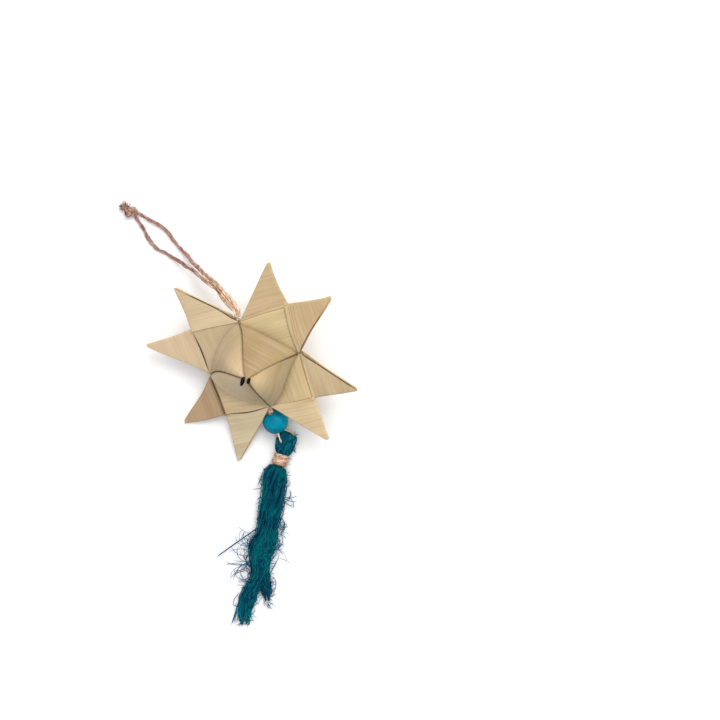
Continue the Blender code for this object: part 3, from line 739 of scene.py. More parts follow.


# The colours of each strip's two points, of its cell in the block, and of its cone: at one seam,
# in the middle and at the other seam, then how bright it is at its tip and at its mouth. Each is
# the leaf's own colour with the light and shade that fall on that part painted in, and a cone's
# changes from seam to seam and from tip to mouth are painted shading.
POINT_COLOURS_AND_SHADING = (((0.550, 0.394, 0.214), (0.669, 0.502, 0.324)), ((0.708, 0.544, 0.325), (0.568, 0.416, 0.234)),
               ((0.459, 0.310, 0.174), (0.567, 0.428, 0.249)), ((0.652, 0.505, 0.322), (0.612, 0.502, 0.324)))
CELL_COLOURS_AND_SHADING = ((0.646, 0.503, 0.265), (0.626, 0.480, 0.254), (0.680, 0.522, 0.299), (0.574, 0.436, 0.260))
CONE_COLOURS_AND_SHADING = (
    ((0.488, 0.348, 0.168), (0.390, 0.268, 0.118), (0.429, 0.301, 0.153), 0.93, 1.02),
    ((0.535, 0.430, 0.232), (0.600, 0.440, 0.245), (0.510, 0.370, 0.178), 1.28, 0.70),
    ((0.600, 0.475, 0.303), (0.575, 0.452, 0.310), (0.425, 0.325, 0.168), 0.90, 0.98),
    ((0.432, 0.324, 0.180), (0.525, 0.390, 0.240), (0.400, 0.282, 0.155), 1.45, 0.94),
)
# Painted shadow: a near-black colour for the sheets and strips that stand where the gaps between leaves lie
# in shade
PAINTED_SHADOW = (0.060, 0.032, 0.014)
CROWN = 0.28 * MM
BACK_CONE_TINTS = ((0.64, 0.50, 0.30), (0.62, 0.48, 0.28), (0.66, 0.50, 0.30), (0.60, 0.47, 0.28))


def across_colour_and_shading(tints, share, across):
    """A cone's colour between its seams, with painted shading from seam to seam and from its tip to its
    mouth.
    """
    first, middle, last, at_tip, at_mouth = tints
    low, high = (first, middle) if across < 0.5 else (middle, last)
    along = across * 2 if across < 0.5 else across * 2 - 1
    # Painted shading: brighter or darker from the tip to the mouth
    bright = blend(at_tip, at_mouth, smooth((share - 0.2) / 0.65))
    return tuple(blend(a, b, along) * bright for a, b in zip(low, high))


def band_place(number, front):
    """A strip's band over the block: a runs along it and b across."""
    def place(a, b):
        x = blend(-BAND - 0.5 * MM, BAND + 0.2 * MM, a) if front else blend(-BAND, BAND, a)
        y = blend(EDGE, BAND - EDGE, b)
        on_top = smooth(x / (0.15 * BAND))
        arch = sin(pi * b) ** 0.6 * sin(pi * min(1.0, abs(x) / BAND)) ** 0.5
        z = front_height(max(-BAND, min(BAND, x)), b) + CROWN * on_top * arch
        z = z + crumple(x, y, 0.12 * MM * on_top, number)
        rim_value = min(min(b, 1 - b) * BAND, abs(x - BAND - 0.2 * MM))
        return Vector((x, y, z)), (x, y + number * 0.1), CELL_COLOURS_AND_SHADING[number], rim_value
    return place


# Points that stand open, and from where to where along their edge a painted shadow line shows their gap
OPEN_POINTS = {(3, 0): (0.0, 0.80), (0, 0): (0.0, 0.70), (2, 1): (0.0, 0.97)}
FOLD_FROM = 0.43
FOLD_TO = 0.57


def point_place(number, side):
    """A point's doubled leaf: b runs over its upper leaf, round the fold and back below."""
    gape = 0.7 * MM if (number, side) in OPEN_POINTS else 0.2 * MM
    sign = 1 if side == 0 else -1
    tucked = 1.6 * MM
    over_front = -0.6 * MM if side == 0 else -tucked
    over_back = -tucked if side == 0 else -0.6 * MM
    top = BAND - EDGE
    end = 2 * BAND - TIP_WIDTH / 2

    def height(x, across, front):
        level = front_height(x if front else -x, across)
        if (side == 0) == front:
            level = level + LEAF * 0.85 * (1.0 - smooth((abs(x) - BAND - 1.0 * MM) / (7.0 * MM)))
        return level

    def place(a, b):
        front = b < 0.5
        start = BAND + (over_front if front else over_back)
        out = blend(start, end, a ** 0.9)
        x = sign * out
        beyond = max(0.0, out - BAND)
        inset = gape if front else -0.15 * MM
        bottom = EDGE + inset * smooth(beyond / (2 * MM)) + beyond * (top - TIP_WIDTH - EDGE) / (end - BAND)
        share = min(b, 1 - b) / FOLD_FROM
        fold = min(1.0, max(0.0, (b - FOLD_FROM) / (FOLD_TO - FOLD_FROM)))
        if share < 1.0:
            y = blend(bottom, top, share)
            z = height(x, share, front) + crumple(x, y, 0.13 * MM * (1 - share ** 4), number + side * 5)
            z = z if front else -z
        else:
            over, under = height(x, 1.0, True), -height(x, 1.0, False)
            radius = (over - under) / 2 * smooth((beyond + 0.4 * MM) / FOLD_START)
            y = top + min(radius, 0.8 * MM) * sin(fold * pi)
            z = (over + under) / 2 + (over - under) / 2 * cos(fold * pi)
        reach = BAND + beyond * TIP_REACH[number][side] if beyond else out
        y = y + beyond * TIP_LEAN[number][side]
        edge_gap = min(share * (top - bottom), abs(out - start))
        if FOLD_FROM < b < FOLD_TO:
            edge_gap = 0.8 * MM
        if not front:
            edge_gap = edge_gap + 0.3 * MM
        where = (y + 0.3 * side, out + number * 0.1)
        # Painted light: the lower leaf is made brighter, most of all along the edge of an open point, where
        # it lies in the upper leaf's shade
        painted_light = 1.0 if front else 1.1
        if not front and gape > 0.5 * MM:
            painted_light = blend(1.55, 1.1, smooth(share * (top - bottom) / (1.6 * MM)))
        tint = tuple(min(0.9, painted_light * part) for part in POINT_COLOURS_AND_SHADING[number][side])
        return Vector((sign * reach, y, z)), where, tint, edge_gap
    return place


def shadow_gap_place(number, side):
    """A painted shadow: a near-black sheet inside an open point, seen as a thin line beside the edge of its
    upper leaf.
    """
    surface = point_place(number, side)
    first, last = OPEN_POINTS[number, side]

    def place(a, b):
        point, where, *_ = surface(blend(first, last, a), blend(0.0, 0.06, b))
        point.y -= 0.42 * MM * smooth(min(a, 1 - a) / 0.12)
        point.z -= 0.42 * MM
        return point, where, PAINTED_SHADOW, 1.0
    return place


def lip_place(number, side, inner, outer, lift, dark=False):
    """The edge of a leaf that lies folded across the foot of a point, or a painted shadow line along the gap
    there.
    """
    surface = point_place(number, side)
    tucked = 0.6 * MM if side == 0 else 1.6 * MM
    length = BAND - TIP_WIDTH / 2 + tucked

    def place(a, b):
        wide = outer - inner
        # A dark lip is painted shadow: a near-black strip, narrower at its ends
        if dark:
            wide = wide * (0.25 + 0.75 * sin(pi * b) ** 0.7)
        out = (inner + wide * a) * MM
        share = max(0.0, (out + tucked) / length) ** (1 / 0.9)
        point, where, tint, _ = surface(share, blend(0.008, 0.425, b))
        point.z += lift * MM
        if dark:
            return point, where, PAINTED_SHADOW, 1.0
        edge = min(a, 1 - a) * (outer - inner) * MM + 0.02 * MM
        return point, (where[0], where[1] + 0.07 * lift), tint, edge
    return place


MOUTHS = ((0.115, 0.03), (0.092, 0.10), (0.070, 0.045), (0.088, 0.05))
BACK_MOUTH = (0.118, 0.04)
SEAM_BOWS = (0.0, 0.0, 2.2 * MM, 1.5 * MM)
SEAM_SPREAD = radians(24.0)
WALL = 0.1
ROUND_CONE = 34 * MM

# Brings share ** 2 * (1 - share), which peaks at 4 / 27, up to 1
PEAK_TO_ONE = 6.75

# How fast the brown fades from a cone's seams and mouth, where a cone differs from the rest
SEAM_FADE = {3: 0.8}
MOUTH_FADE = {1: 0.4}


def cone_place(top_height, drawn, tint, seed, mouth, seam_bows=(0.0, 0.0), over=0.0):
    """A cone: a runs from its tip to its mouth, b from one seam wall over the arch to the other.

    Its mouth bows out from the chord between its feet by mouth's first share of the strip's width
    and leans to one foot by the second. Each seam may bow clockwise, and the tip may lap over.
    """
    tip = Vector((SEAM - over * 1.4, SEAM - over * 1.6, top_height + over * 0.4))
    foot = OUTER + CONE_FOOT
    chord = BAND * CONE_FEET * cos(pi / 4)
    fused_ridge = blend(top_height, foot, CONE_FUSED)

    def place(a, b):
        share = blend(CONE_TIP, 1.0, a ** 0.85)
        arch = min(1.0, max(0.0, (b - WALL) / (1 - 2 * WALL)))
        angle = arch * pi / 2
        aside = tan(angle - pi / 4)
        bow = BAND * (mouth[0] - mouth[1] * aside) * (1.0 - aside ** 2)
        radius = (chord + bow) / cos(angle - pi / 4)
        swell = max(0.0, sin(2 * angle))
        spot_here = Vector((max(radius * cos(angle), SEAM), max(radius * sin(angle), SEAM),
                            foot + CONE_RISE * swell ** 0.62))
        point = tip.lerp(spot_here, share)
        low_edge = OUTER
        if share < CONE_FUSED:
            low_edge = blend(top_height, foot, share) - (fused_ridge - OUTER) * share / CONE_FUSED
        down = max(WALL - b, b - 1 + WALL, 0.0) / WALL
        point.z = blend(point.z, low_edge, down)
        dent = crumple(point.x, point.y, 0.22 * MM * share * swell, seed)
        point = point + Vector((0.3, 0.3, 0.9)) * dent
        pull = seam_bows[0] * (1.0 - smooth(angle / SEAM_SPREAD))
        pull = pull + seam_bows[1] * (1.0 - smooth((pi / 2 - angle) / SEAM_SPREAD))
        way_round = Vector((sin(angle), -cos(angle), 0.0))
        point = point + way_round * pull * PEAK_TO_ONE * share ** 2 * (1.0 - share)
        point = point + drawn * max(0.0, 1.0 - share / CONE_FUSED) ** 2
        where = (angle * 0.8 * BAND * share + seed * 0.05, share * BAND * 1.1)
        from_seam = max(0.0, min(b, 1 - b) - WALL) * ROUND_CONE * share
        from_mouth = (1.0 - share) * BAND * MOUTH_FADE.get(seed, 1.0)
        rim_value = min(from_mouth + 0.05 * MM, 0.02 * MM + from_seam * SEAM_FADE.get(seed, 0.34))
        # Painted shade: the colour darkens close to each seam, in the groove between two cones
        seam_shade = 1.0 - 0.38 * exp(-(from_seam / (0.45 * MM)) ** 2)
        return point, where, tuple(part * seam_shade for part in across_colour_and_shading(tint, share, arch)), rim_value
    return place


def turned_over(place):
    """The back of the star is its front turned half round about Y."""
    def placed(a, b):
        point, where, tone_value, rim_value = place(a, b)
        return Vector((-point.x, point.y, -point.z)), where, tone_value, rim_value
    return placed


print("a point opens", round(MOUTH / MM, 1), "mm along its long side")

# %% [markdown]
# Each strip is one piece of many leaves: a front and a back band, two folded points, and a cone
# on either side, with a near-black sheet of painted shadow inside each open point. Some points show
# more folded edges across their foot, so a list gives each point's lips: where each begins and ends
# out of the block and how high it lies, in millimetres, and True for a lip that is a painted shadow
# line along the gap rather than a leaf edge.
# A last small warp carries the whole weave a few tenths of a millimetre out of true, as a star
# woven by hand is.

# %% The four strips
LIPS = (
    (((-0.5, 3.3, 0.16), (-0.5, 2.2, 0.32), (-0.5, 1.1, 0.48)), ((-0.6, 0.55, 0.1, True),)),
    ((), ((-0.5, 1.5, 0.2), (-0.5, 0.9, 0.42))),
    (((-0.4, 0.2, 0.16, True), (0.25, 0.9, 0.45), (0.8, 1.25, 0.16, True)), ()),
    ((), ((-0.6, 0.4, 0.1, True),)),
)

# Small shifts: where they centre in widths of a strip, how far east and north, how wide, in mm
NUDGES = (
    ((0.0, 1.0), (0.24, -0.63), 8), ((-1.0, 0.0), (-0.77, 0.10), 8), ((0.0, -1.0), (0.24, 0.80), 8),
    ((1.0, 0.0), (0.70, 0.10), 7), ((1.0, 1.0), (1.20, 0.60), 8), ((-1.0, 1.0), (-1.35, 0.15), 8),
    ((-1.0, -1.0), (-0.75, 1.60), 9), ((-1.97, -0.9), (-0.50, 1.40), 12), ((1.97, 0.9), (0.60, -1.20), 12),
)


def warped(point):
    """Shift a point of the weave on the floor plan, most inside the block and nowhere far out."""
    away = hypot(point.x - STAR_CENTRE.x, point.y - STAR_CENTRE.y)
    shift = Vector((0.75, 0.65, 0.0)) * (1.0 - smooth((away - 24 * MM) / (22 * MM)))
    for (x, y), (east, north), spread in NUDGES:
        spot_here = POSE @ Vector((x * BAND, y * BAND, 0.0))
        near = hypot(point.x - spot_here.x, point.y - spot_here.y) / (spread * MM)
        shift = shift + Vector((east, north, 0.0)) * exp(-near ** 2)
    return point + shift * MM


def finish_leaf(piece):
    shell = piece.modifiers.new("leaf thickness", "SOLIDIFY")
    shell.thickness = LEAF
    shell.offset = 0.0
    round_edge = piece.modifiers.new("worn edge", "BEVEL")
    round_edge.width = 0.09 * MM
    round_edge.segments = 2
    round_edge.limit_method = "ANGLE"
    round_edge.angle_limit = radians(50)


strips = []
for number in range(4):
    turn = POSE @ Matrix.Rotation(-number * pi / 2, 4, "Z")
    net = new_net()
    bent_grid(net, 60, 12, band_place(number, True))
    bent_grid(net, 60, 12, turned_over(band_place(number, False)))
    for side_index in (0, 1):
        bent_grid(net, 40, 40, point_place(number, side_index))
        for lip in LIPS[number][side_index]:
            bent_grid(net, 10, 30, lip_place(number, side_index, *lip))
        # Painted shadow: a near-black sheet inside each open point
        if (number, side_index) in OPEN_POINTS:
            bent_grid(net, 50, 3, shadow_gap_place(number, side_index))
    drawn = Matrix.Rotation(number * pi / 2, 3, "Z") @ CONE_DRAWN
    bows = (SEAM_BOWS[number], SEAM_BOWS[(number - 1) % 4])
    over = 0.75 * MM if number == 0 else 0.0
    back_tint = (BACK_CONE_TINTS[number],) * 3 + (1.0, 1.0)
    front_cone = cone_place(CONE_TOP[0], drawn, CONE_COLOURS_AND_SHADING[number], number + 1, MOUTHS[number], bows, over)
    bent_grid(net, 34, 60, front_cone)
    back_cone = cone_place(CONE_TOP[1], Vector(), back_tint, number + 7, BACK_MOUTH, over=over)
    bent_grid(net, 34, 60, turned_over(back_cone))
    for vertex in net.verts:
        vertex.co = warped(turn @ vertex.co)
    strip = piece_from(net, "woven_strip_%d" % (number + 1), leaf, ["leaf_strip_%d" % (number + 1)])
    finish_leaf(strip)
    strips.append(strip)
    print(strip.name, len(strip.data.polygons), "faces before thickness")

# %% [markdown]
# Black thread ties the four cone tips. Two short bundles of stitches lie over them, one on either
# side of the tip. Where they touch the leaf isn't worked out twice: a ray goes to the finished
# strips, from the camera on the front and along the star's own axis on the back, and each thread
# lies on the place that it hits.

# %% Stitches
bpy.context.view_layer.update()
graph = bpy.context.evaluated_depsgraph_get()
leaf_trees = [BVHTree.FromObject(strip, graph) for strip in strips]
STRANDS = 9
RAY = 24 * MM


def on_leaf(start, way):
    """The first place where a short ray meets the leaf, or None."""
    hits = [tree.ray_cast(start, way, RAY)[0] for tree in leaf_trees]
    hits = [hit for hit in hits if hit is not None]
    return min(hits, key=lambda hit: (hit - start).length) if hits else None


star_right, star_top, star_up = [column.normalized() for column in POSE.to_3x3().col]
front_tip = POSE @ (CONE_DRAWN + Vector((0.0, 0.0, CONE_TOP[0])))
back_tip = POSE @ Vector((0.0, 0.0, -CONE_TOP[1]))
front_strokes = ((seen_at(243.9, 377.0, front_tip.z), seen_at(241.0, 385.9, front_tip.z), 0.72 * MM),
                 (seen_at(249.6, 378.2, front_tip.z), seen_at(247.8, 383.9, front_tip.z), 0.62 * MM))
back_strokes = ((back_tip - star_right * 1.6 * MM + star_top * 1.9 * MM,
                 back_tip - star_right * 2.2 * MM - star_top * 1.9 * MM, 0.6 * MM),
                (back_tip + star_right * 1.5 * MM + star_top * 1.7 * MM,
                 back_tip + star_right * 1.9 * MM - star_top * 1.3 * MM, 0.5 * MM))
eye = Vector(CAMERA_PLACE)
for name, strokes in (("front", front_strokes), ("back", back_strokes)):
    draw = random.Random(21 + len(name))
    net = new_net()
    for first, last, half_width in strokes:
        way = (first - eye).normalized() if name == "front" else star_up
        aside = (last - first).cross(way).normalized()
        for strand_index in range(STRANDS):
            spread = (2 * strand_index / (STRANDS - 1) - 1.0) * half_width
            points = []
            for k in range(7):
                share = k / 6
                fat = sin(pi * (0.12 + 0.8 * share)) ** 0.7
                point = first.lerp(last, share) + aside * (spread * fat + draw.uniform(-0.05, 0.05) * MM)
                way = (point - eye).normalized() if name == "front" else star_up
                touched = on_leaf(point - way * RAY / 2, way) or point
                bulge = 0.28 * fat * (1.0 - abs(spread) / half_width) ** 0.5
                points.append(touched - way * (0.13 + bulge) * MM)
            lay_tube(net, through(points, 0.3 * MM), 0.17 * MM, 0.5, 5)
    stitch = piece_from(net, "stitches_" + name, thread, ["stitch_thread_" + name])
    print(stitch.name, len(stitch.data.polygons), "faces")

# %% [markdown]
# The bead is turned wood with a drilled bore and softly rounded lips, dipped in teal lacquer.
# A half profile is spun once round the bore.

# %% The bead
BORE = APART + INNER_TWINE / 2 + 0.15 * MM
net = bmesh.new()
lip_radius = 0.5 * MM
corners = []
start = asin(sqrt(BEAD_RADIUS ** 2 - (BORE + lip_radius) ** 2) / BEAD_RADIUS)
for i in range(25):
    angle = blend(start, -start, i / 24)
    corners.append((BEAD_RADIUS * cos(angle), BEAD_RADIUS * sin(angle)))
rise = corners[0][1] - lip_radius * 0.6
corners = [(BORE, rise - 0.4 * MM), (BORE + 0.12 * MM, rise + 0.1 * MM)] + corners
corners += [(BORE + 0.12 * MM, -rise - 0.1 * MM), (BORE, -rise + 0.4 * MM), (BORE, 0.0)]
ring_verts = [net.verts.new((radius, 0.0, height)) for radius, height in corners]
ring_edges = [net.edges.new(pair) for pair in zip(ring_verts, ring_verts[1:] + ring_verts[:1])]
bmesh.ops.spin(net, geom=ring_verts + ring_edges, axis=(0.0, 0.0, 1.0), cent=(0.0, 0.0, 0.0),
               angle=2 * pi, steps=80, use_merge=True)
bmesh.ops.remove_doubles(net, verts=net.verts, dist=0.000001)
bmesh.ops.recalc_face_normals(net, faces=net.faces)
lay = Matrix.Translation(BEAD_CENTRE) @ bore.to_track_quat("Z", "Y").to_matrix().to_4x4()
bmesh.ops.transform(net, matrix=lay, verts=net.verts)
for face in net.faces:
    face.smooth = True
bead = piece_from(net, "painted_wood_bead", painted, ["bead"])
print("bead is", round(bead.dimensions.x / MM, 2), "mm across")

# %% [markdown]
# The tassel is a hank of dyed jute, folded over the twine and bound. A core, darkened as painted
# shade between the fibres, gives it body, hundreds of wavy fibres cover the core, and loose hairs
# stand off. Curves with a small bevel make the fibres, because a fibre is a line with a thickness.

# %% The tassel's shape
WRAP_LENGTH = 5.9 * MM
SKIRT_WIDTH = 12.0 * MM
SKIRT_HEIGHT = 8.0 * MM
HEAD_LENGTH = 10.6 * MM
direction = heading(TASSEL_TURN)
neck_end = HEAD_LENGTH / 2 + WRAP_LENGTH + 2 * GAP
skirt_start = head + direction * neck_end
SKIRT_ROUTE = (
    (0.0, 0.0, 0.55, 0.62), (-0.0012, -0.0032, 0.88, 0.92), (-0.0018, -0.0062, 0.92, 1.0),
    (-0.0022, -0.0100, 0.85, 1.0), (-0.0029, -0.0150, 0.81, 0.98), (-0.0038, -0.0200, 0.81, 0.96),
    (-0.0044, -0.0250, 0.78, 0.94), (-0.0050, -0.0300, 0.78, 0.92), (-0.0058, -0.0335, 0.84, 0.90),
    (-0.0070, -0.0368, 0.94, 0.88), (-0.0081, -0.0400, 0.92, 0.86), (-0.0084, -0.0434, 0.78, 0.82),
    (-0.0085, -0.0475, 0.69, 0.78),
)
LEFT_TAIL = (
    (-0.0092, -0.0512, 0.58, 0.60), (-0.0104, -0.0545, 0.50, 0.56), (-0.0124, -0.0580, 0.52, 0.54),
    (-0.0143, -0.0622, 0.60, 0.50), (-0.0156, -0.0665, 0.55, 0.44), (-0.0161, -0.0710, 0.50, 0.38),
    (-0.0163, -0.0752, 0.40, 0.26),
)
RIGHT_TAIL = (
    (-0.0074, -0.0512, 0.50, 0.50), (-0.0066, -0.0550, 0.42, 0.46), (-0.0059, -0.0595, 0.45, 0.40),
    (-0.0055, -0.0640, 0.24, 0.22),
)


def hank_stations(tail):
    """The middle line of the skirt and one tail, with its half width and half height."""
    stations = []
    for east, north, wide, tall in SKIRT_ROUTE + tail:
        tall_here = SKIRT_HEIGHT * tall / 2
        z = blend(skirt_start.z, tall_here, smooth(abs(north) / (6.8 * MM)))
        stations.append((Vector((skirt_start.x + east, skirt_start.y + north, z)),
                         SKIRT_WIDTH * wide / 2, tall_here))
    return stations


def along_hank(stations, share):
    """Point, half width, half height and the direction across at a share of the way."""
    place = share * (len(stations) - 1)
    i = min(int(place), len(stations) - 2)
    t = place - i
    before, here, after, last = [stations[max(0, min(len(stations) - 1, i + k))] for k in (-1, 0, 1, 2)]
    point = spline(before[0], here[0], after[0], last[0], t)
    ahead = (after[0] - here[0]).normalized()
    across = Vector((-ahead.y, ahead.x, 0.0)).normalized()
    return point, blend(here[1], after[1], t), blend(here[2], after[2], t), across


def in_section(middle, wide, tall, across, angle, size):
    """A place in the hank's section, at an angle and a share of the way out."""
    return middle + across * (cos(angle) * wide * size) + UP * (sin(angle) * tall * size)


hanks = {"left": hank_stations(LEFT_TAIL), "right": hank_stations(RIGHT_TAIL)}
print("tassel skirt reaches", round((hanks["left"][-1][0] - head).length / MM, 1), "mm from its head")

# %% [markdown]
# Half of the fibres run the whole way and keep their place in the hank's section. The others are
# short and cross it slantwise, which gives the tangled look. All of them wander in waves.

# %% The tassel's fibres
FIBRE_COUNT = {"left": 560, "right": 360}
FIBRE_STEP = 1.7 * MM


def fibre_piece(name, fibres, nodes=(), finish=dyed):
    """One curve object of many fibres. A fibre is (points, radius)."""
    curve = bpy.data.curves.new(name, "CURVE")
    curve.dimensions = "3D"
    curve.bevel_depth = 1.0
    curve.bevel_resolution = 0
    curve.use_fill_caps = True
    for points, radius in fibres:
        line = curve.splines.new("POLY")
        line.points.add(len(points) - 1)
        for i, point in enumerate(points):
            line.points[i].co = (*point, 1.0)
            line.points[i].radius = radius * min(1.0, 0.4 + i * 0.6, 0.12 + (len(points) - 1 - i) * 0.45)
    drawn_curve = bpy.data.objects.new(name + "_curve", curve)
    scene.collection.objects.link(drawn_curve)
    graph = bpy.context.evaluated_depsgraph_get()
    mesh = bpy.data.meshes.new_from_object(drawn_curve.evaluated_get(graph))
    bpy.data.objects.remove(drawn_curve, do_unlink=True)
    net = bmesh.new()
    net.from_mesh(mesh)
    bmesh.ops.remove_doubles(net, verts=net.verts, dist=0.0000005)
    for face in net.faces:
        face.smooth = True
    mesh.materials.clear()
    return piece_from(net, name, finish, nodes)


def hank_fibre(stations, draw, first, last, angle, depth, drift):
    """A fibre at an angle round the section and a depth from 0 in the middle to 1 outside."""
    length = (last - first) * 82 * MM * len(stations) / 16
    count = max(5, int(length / FIBRE_STEP))
    waves = [(draw.uniform(0.45, 1.7), draw.uniform(0, 6.3), draw.uniform(0.15, 0.6)) for _ in range(3)]
    points = []
    for i in range(count + 1):
        share = blend(first, last, i / count)
        middle, wide, tall, across = along_hank(stations, share)
        travel = share * 62.0
        wave = sum(size * sin(travel / pace + phase) for pace, phase, size in waves)
        lift = sum(size * cos(travel / pace * 1.1 + phase * 2) for pace, phase, size in waves)
        turn = angle + drift * (share - first)
        here = depth * (1.0 + 0.07 * wave) * (1.0 - 0.2 * smooth((share - 0.86) / 0.14))
        point = in_section(middle, wide, tall, across, turn, here)
        point = point + across * wave * 0.48 * MM + UP * (lift * 0.3 * MM)
        point.z = max(point.z, 0.2 * MM)
        points.append(point)
    return points


draw = random.Random(4)
for name, stations in hanks.items():
    fibres = []
    for _ in range(FIBRE_COUNT[name]):
        angle = draw.uniform(0, 2 * pi)
        depth = sqrt(draw.uniform(0.35, 1.0))
        if draw.random() < 0.08:
            depth = depth + draw.uniform(0.1, 0.3)
        if draw.random() < 0.5:
            first = 0.0 if draw.random() < 0.8 else draw.uniform(0.0, 0.5)
            last = max(min(1.03, draw.gauss(0.93, 0.055)), first + 0.2)
            drift = draw.gauss(1.5, 1.5)
        else:
            first = draw.uniform(0.0, 0.78)
            last = min(draw.uniform(0.88, 1.02), first + draw.uniform(0.12, 0.30))
            drift = draw.gauss(6.5, 5.0)
        fibre = hank_fibre(stations, draw, first, last, angle, depth, drift)
        fibres.append((fibre, draw.uniform(0.09, 0.23) * MM))
    made = fibre_piece("tassel_fibres_" + name, fibres, ["tassel"] if name == "left" else [])
    print(made.name, len(fibres), "fibres,", len(made.data.polygons), "faces")

# %% [markdown]
# The core under the fibres, in the darker dye as painted shade, the folded head, and the loose hairs.

# %% Core, head and hairs
net = new_net()
for stations in hanks.values():
    def core_place(a, b, stations=stations):
        middle, wide, tall, across = along_hank(stations, a * 0.89)
        angle = 2 * pi * b
        thin = 0.80 * min(1.0, (1.01 - a) * 5)
        lump = 0.05 * noise.noise(Vector((a * 40, b * 9, 1.0)))
        size = thin * (1.0 + 0.07 * sin(angle * 9 + a * 9) + lump)
        return in_section(middle, wide, tall, across, angle, size), (a * 0.09, b * 0.03), 0.2, 1.0
    bent_grid(net, 90, 40, core_place)

HEAD_FIBRES = 320
LOOSE_HAIRS = 420

# Along the head, in shares of half its length, and its radius as a share of half its diameter
HEAD_PROFILE = ((-1.0, 0.30), (-0.9, 0.62), (-0.6, 0.90), (-0.1, 1.0), (0.4, 0.95), (0.75, 0.84),
                (0.97, 0.70), (1.15, 0.47), (1.5, 0.42), (2.25, 0.46))


def head_radius(along):
    """The head's radius at a share of its half length from its middle."""
    for (first, small), (second, large) in zip(HEAD_PROFILE, HEAD_PROFILE[1:]):
        if along <= second:
            return HEAD_DIAMETER / 2 * blend(small, large, smooth((along - first) / (second - first)))
    return HEAD_DIAMETER / 2 * HEAD_PROFILE[-1][1]


head_side = Vector((-direction.y, direction.x, 0.0))


def head_place(a, b):
    along = blend(-1.0, 2.25, a)
    radius = head_radius(along) * 0.9 * min(1.0, a * 30 + 0.05)
    point = head + direction * (along * HEAD_LENGTH / 2)
    return point + around(head_side, UP, 2 * pi * b) * radius, (a, b), 0.2, 1.0


bent_grid(net, 60, 36, head_place)
# The core takes the darker dye: painted shade under the fibres
piece_from(net, "tassel_core", dyed_painted_shade)

fibres = []
for _ in range(HEAD_FIBRES):
    angle = draw.uniform(0, 2 * pi)
    lean = draw.gauss(0.15, 0.5)
    points = []
    for i in range(15):
        along = blend(-0.99, 1.3, i / 14)
        turn = angle + lean * along + 0.16 * sin(i * 1.1 + angle * 5)
        radius = head_radius(along) * (0.93 + 0.10 * sin(i * 0.9 + angle * 7)) + 0.05 * MM
        point = head + direction * (along * HEAD_LENGTH / 2) + around(head_side, UP, turn) * radius
        point.z = max(point.z, 0.15 * MM)
        points.append(point)
    fibres.append((points, draw.uniform(0.10, 0.26) * MM))
fibre_piece("tassel_head_fibres", fibres)


def curly(root, way, length, curl, count=9):
    """A loose hair that leaves its root one way and curls as it goes."""
    points = []
    here = Vector(root)
    for i in range(count):
        points.append(Vector((here.x, here.y, max(here.z, 0.12 * MM))))
        turn = Matrix.Rotation(curl * i / count, 3, "Z")
        here = here + (turn @ way) * length / count - UP * (0.12 * MM)
    return points


hairs = []
for _ in range(LOOSE_HAIRS):
    stations = hanks["left"] if draw.random() < 0.6 else hanks["right"]
    share = draw.uniform(0.05, 1.0)
    middle, wide, tall, across = along_hank(stations, share)
    hand = draw.choice((-1, 1))
    root = middle + across * hand * wide * 0.85 + UP * (draw.uniform(-0.5, 0.6) * tall)
    ahead = UP.cross(across)
    way = (ahead * draw.uniform(-0.5, 1.6) + across * hand * draw.uniform(0.3, 0.9)).normalized()
    hair = curly(root, way, draw.uniform(1.2, 4.6) * MM, draw.uniform(-1.8, 1.8))
    hairs.append((hair, draw.uniform(0.05, 0.10) * MM))

# Tangles that stand out at the sides: where, how spread, how far they reach, how many, which way
TANGLES = (((252, 545), 7, 20, 16, 200.0), ((250, 563), 8, 24, 22, 185.0), ((250, 580), 6, 13, 10, 205.0),
           ((291, 445), 4, 9, 16, -10.0), ((279, 437), 4, 5, 10, 160.0), ((286, 455), 3, 6, 8, -30.0),
           ((281, 527), 4, 9, 16, 20.0), ((276, 545), 4, 9, 12, -20.0), ((283, 500), 3, 14, 12, -30.0),
           ((268, 601), 3, 5, 8, -60.0), ((247, 592), 4, 8, 8, 215.0), ((291, 437), 2, 7, 14, 5.0))
for (x, y), spread, reach, count, degrees in TANGLES:
    for _ in range(count):
        root = seen_at(x + draw.gauss(0, 1.5), y + draw.gauss(0, spread), draw.uniform(0.6, 4.0) * MM)
        way = heading(degrees + draw.gauss(0, 35.0))
        length = draw.uniform(0.5, 1.3) * reach * TASSEL_PIXEL
        hair = curly(root, way, length, draw.choice((-1, 1)) * draw.uniform(0.5, 3.4), 12)
        hairs.append((hair, draw.uniform(0.08, 0.14) * MM))

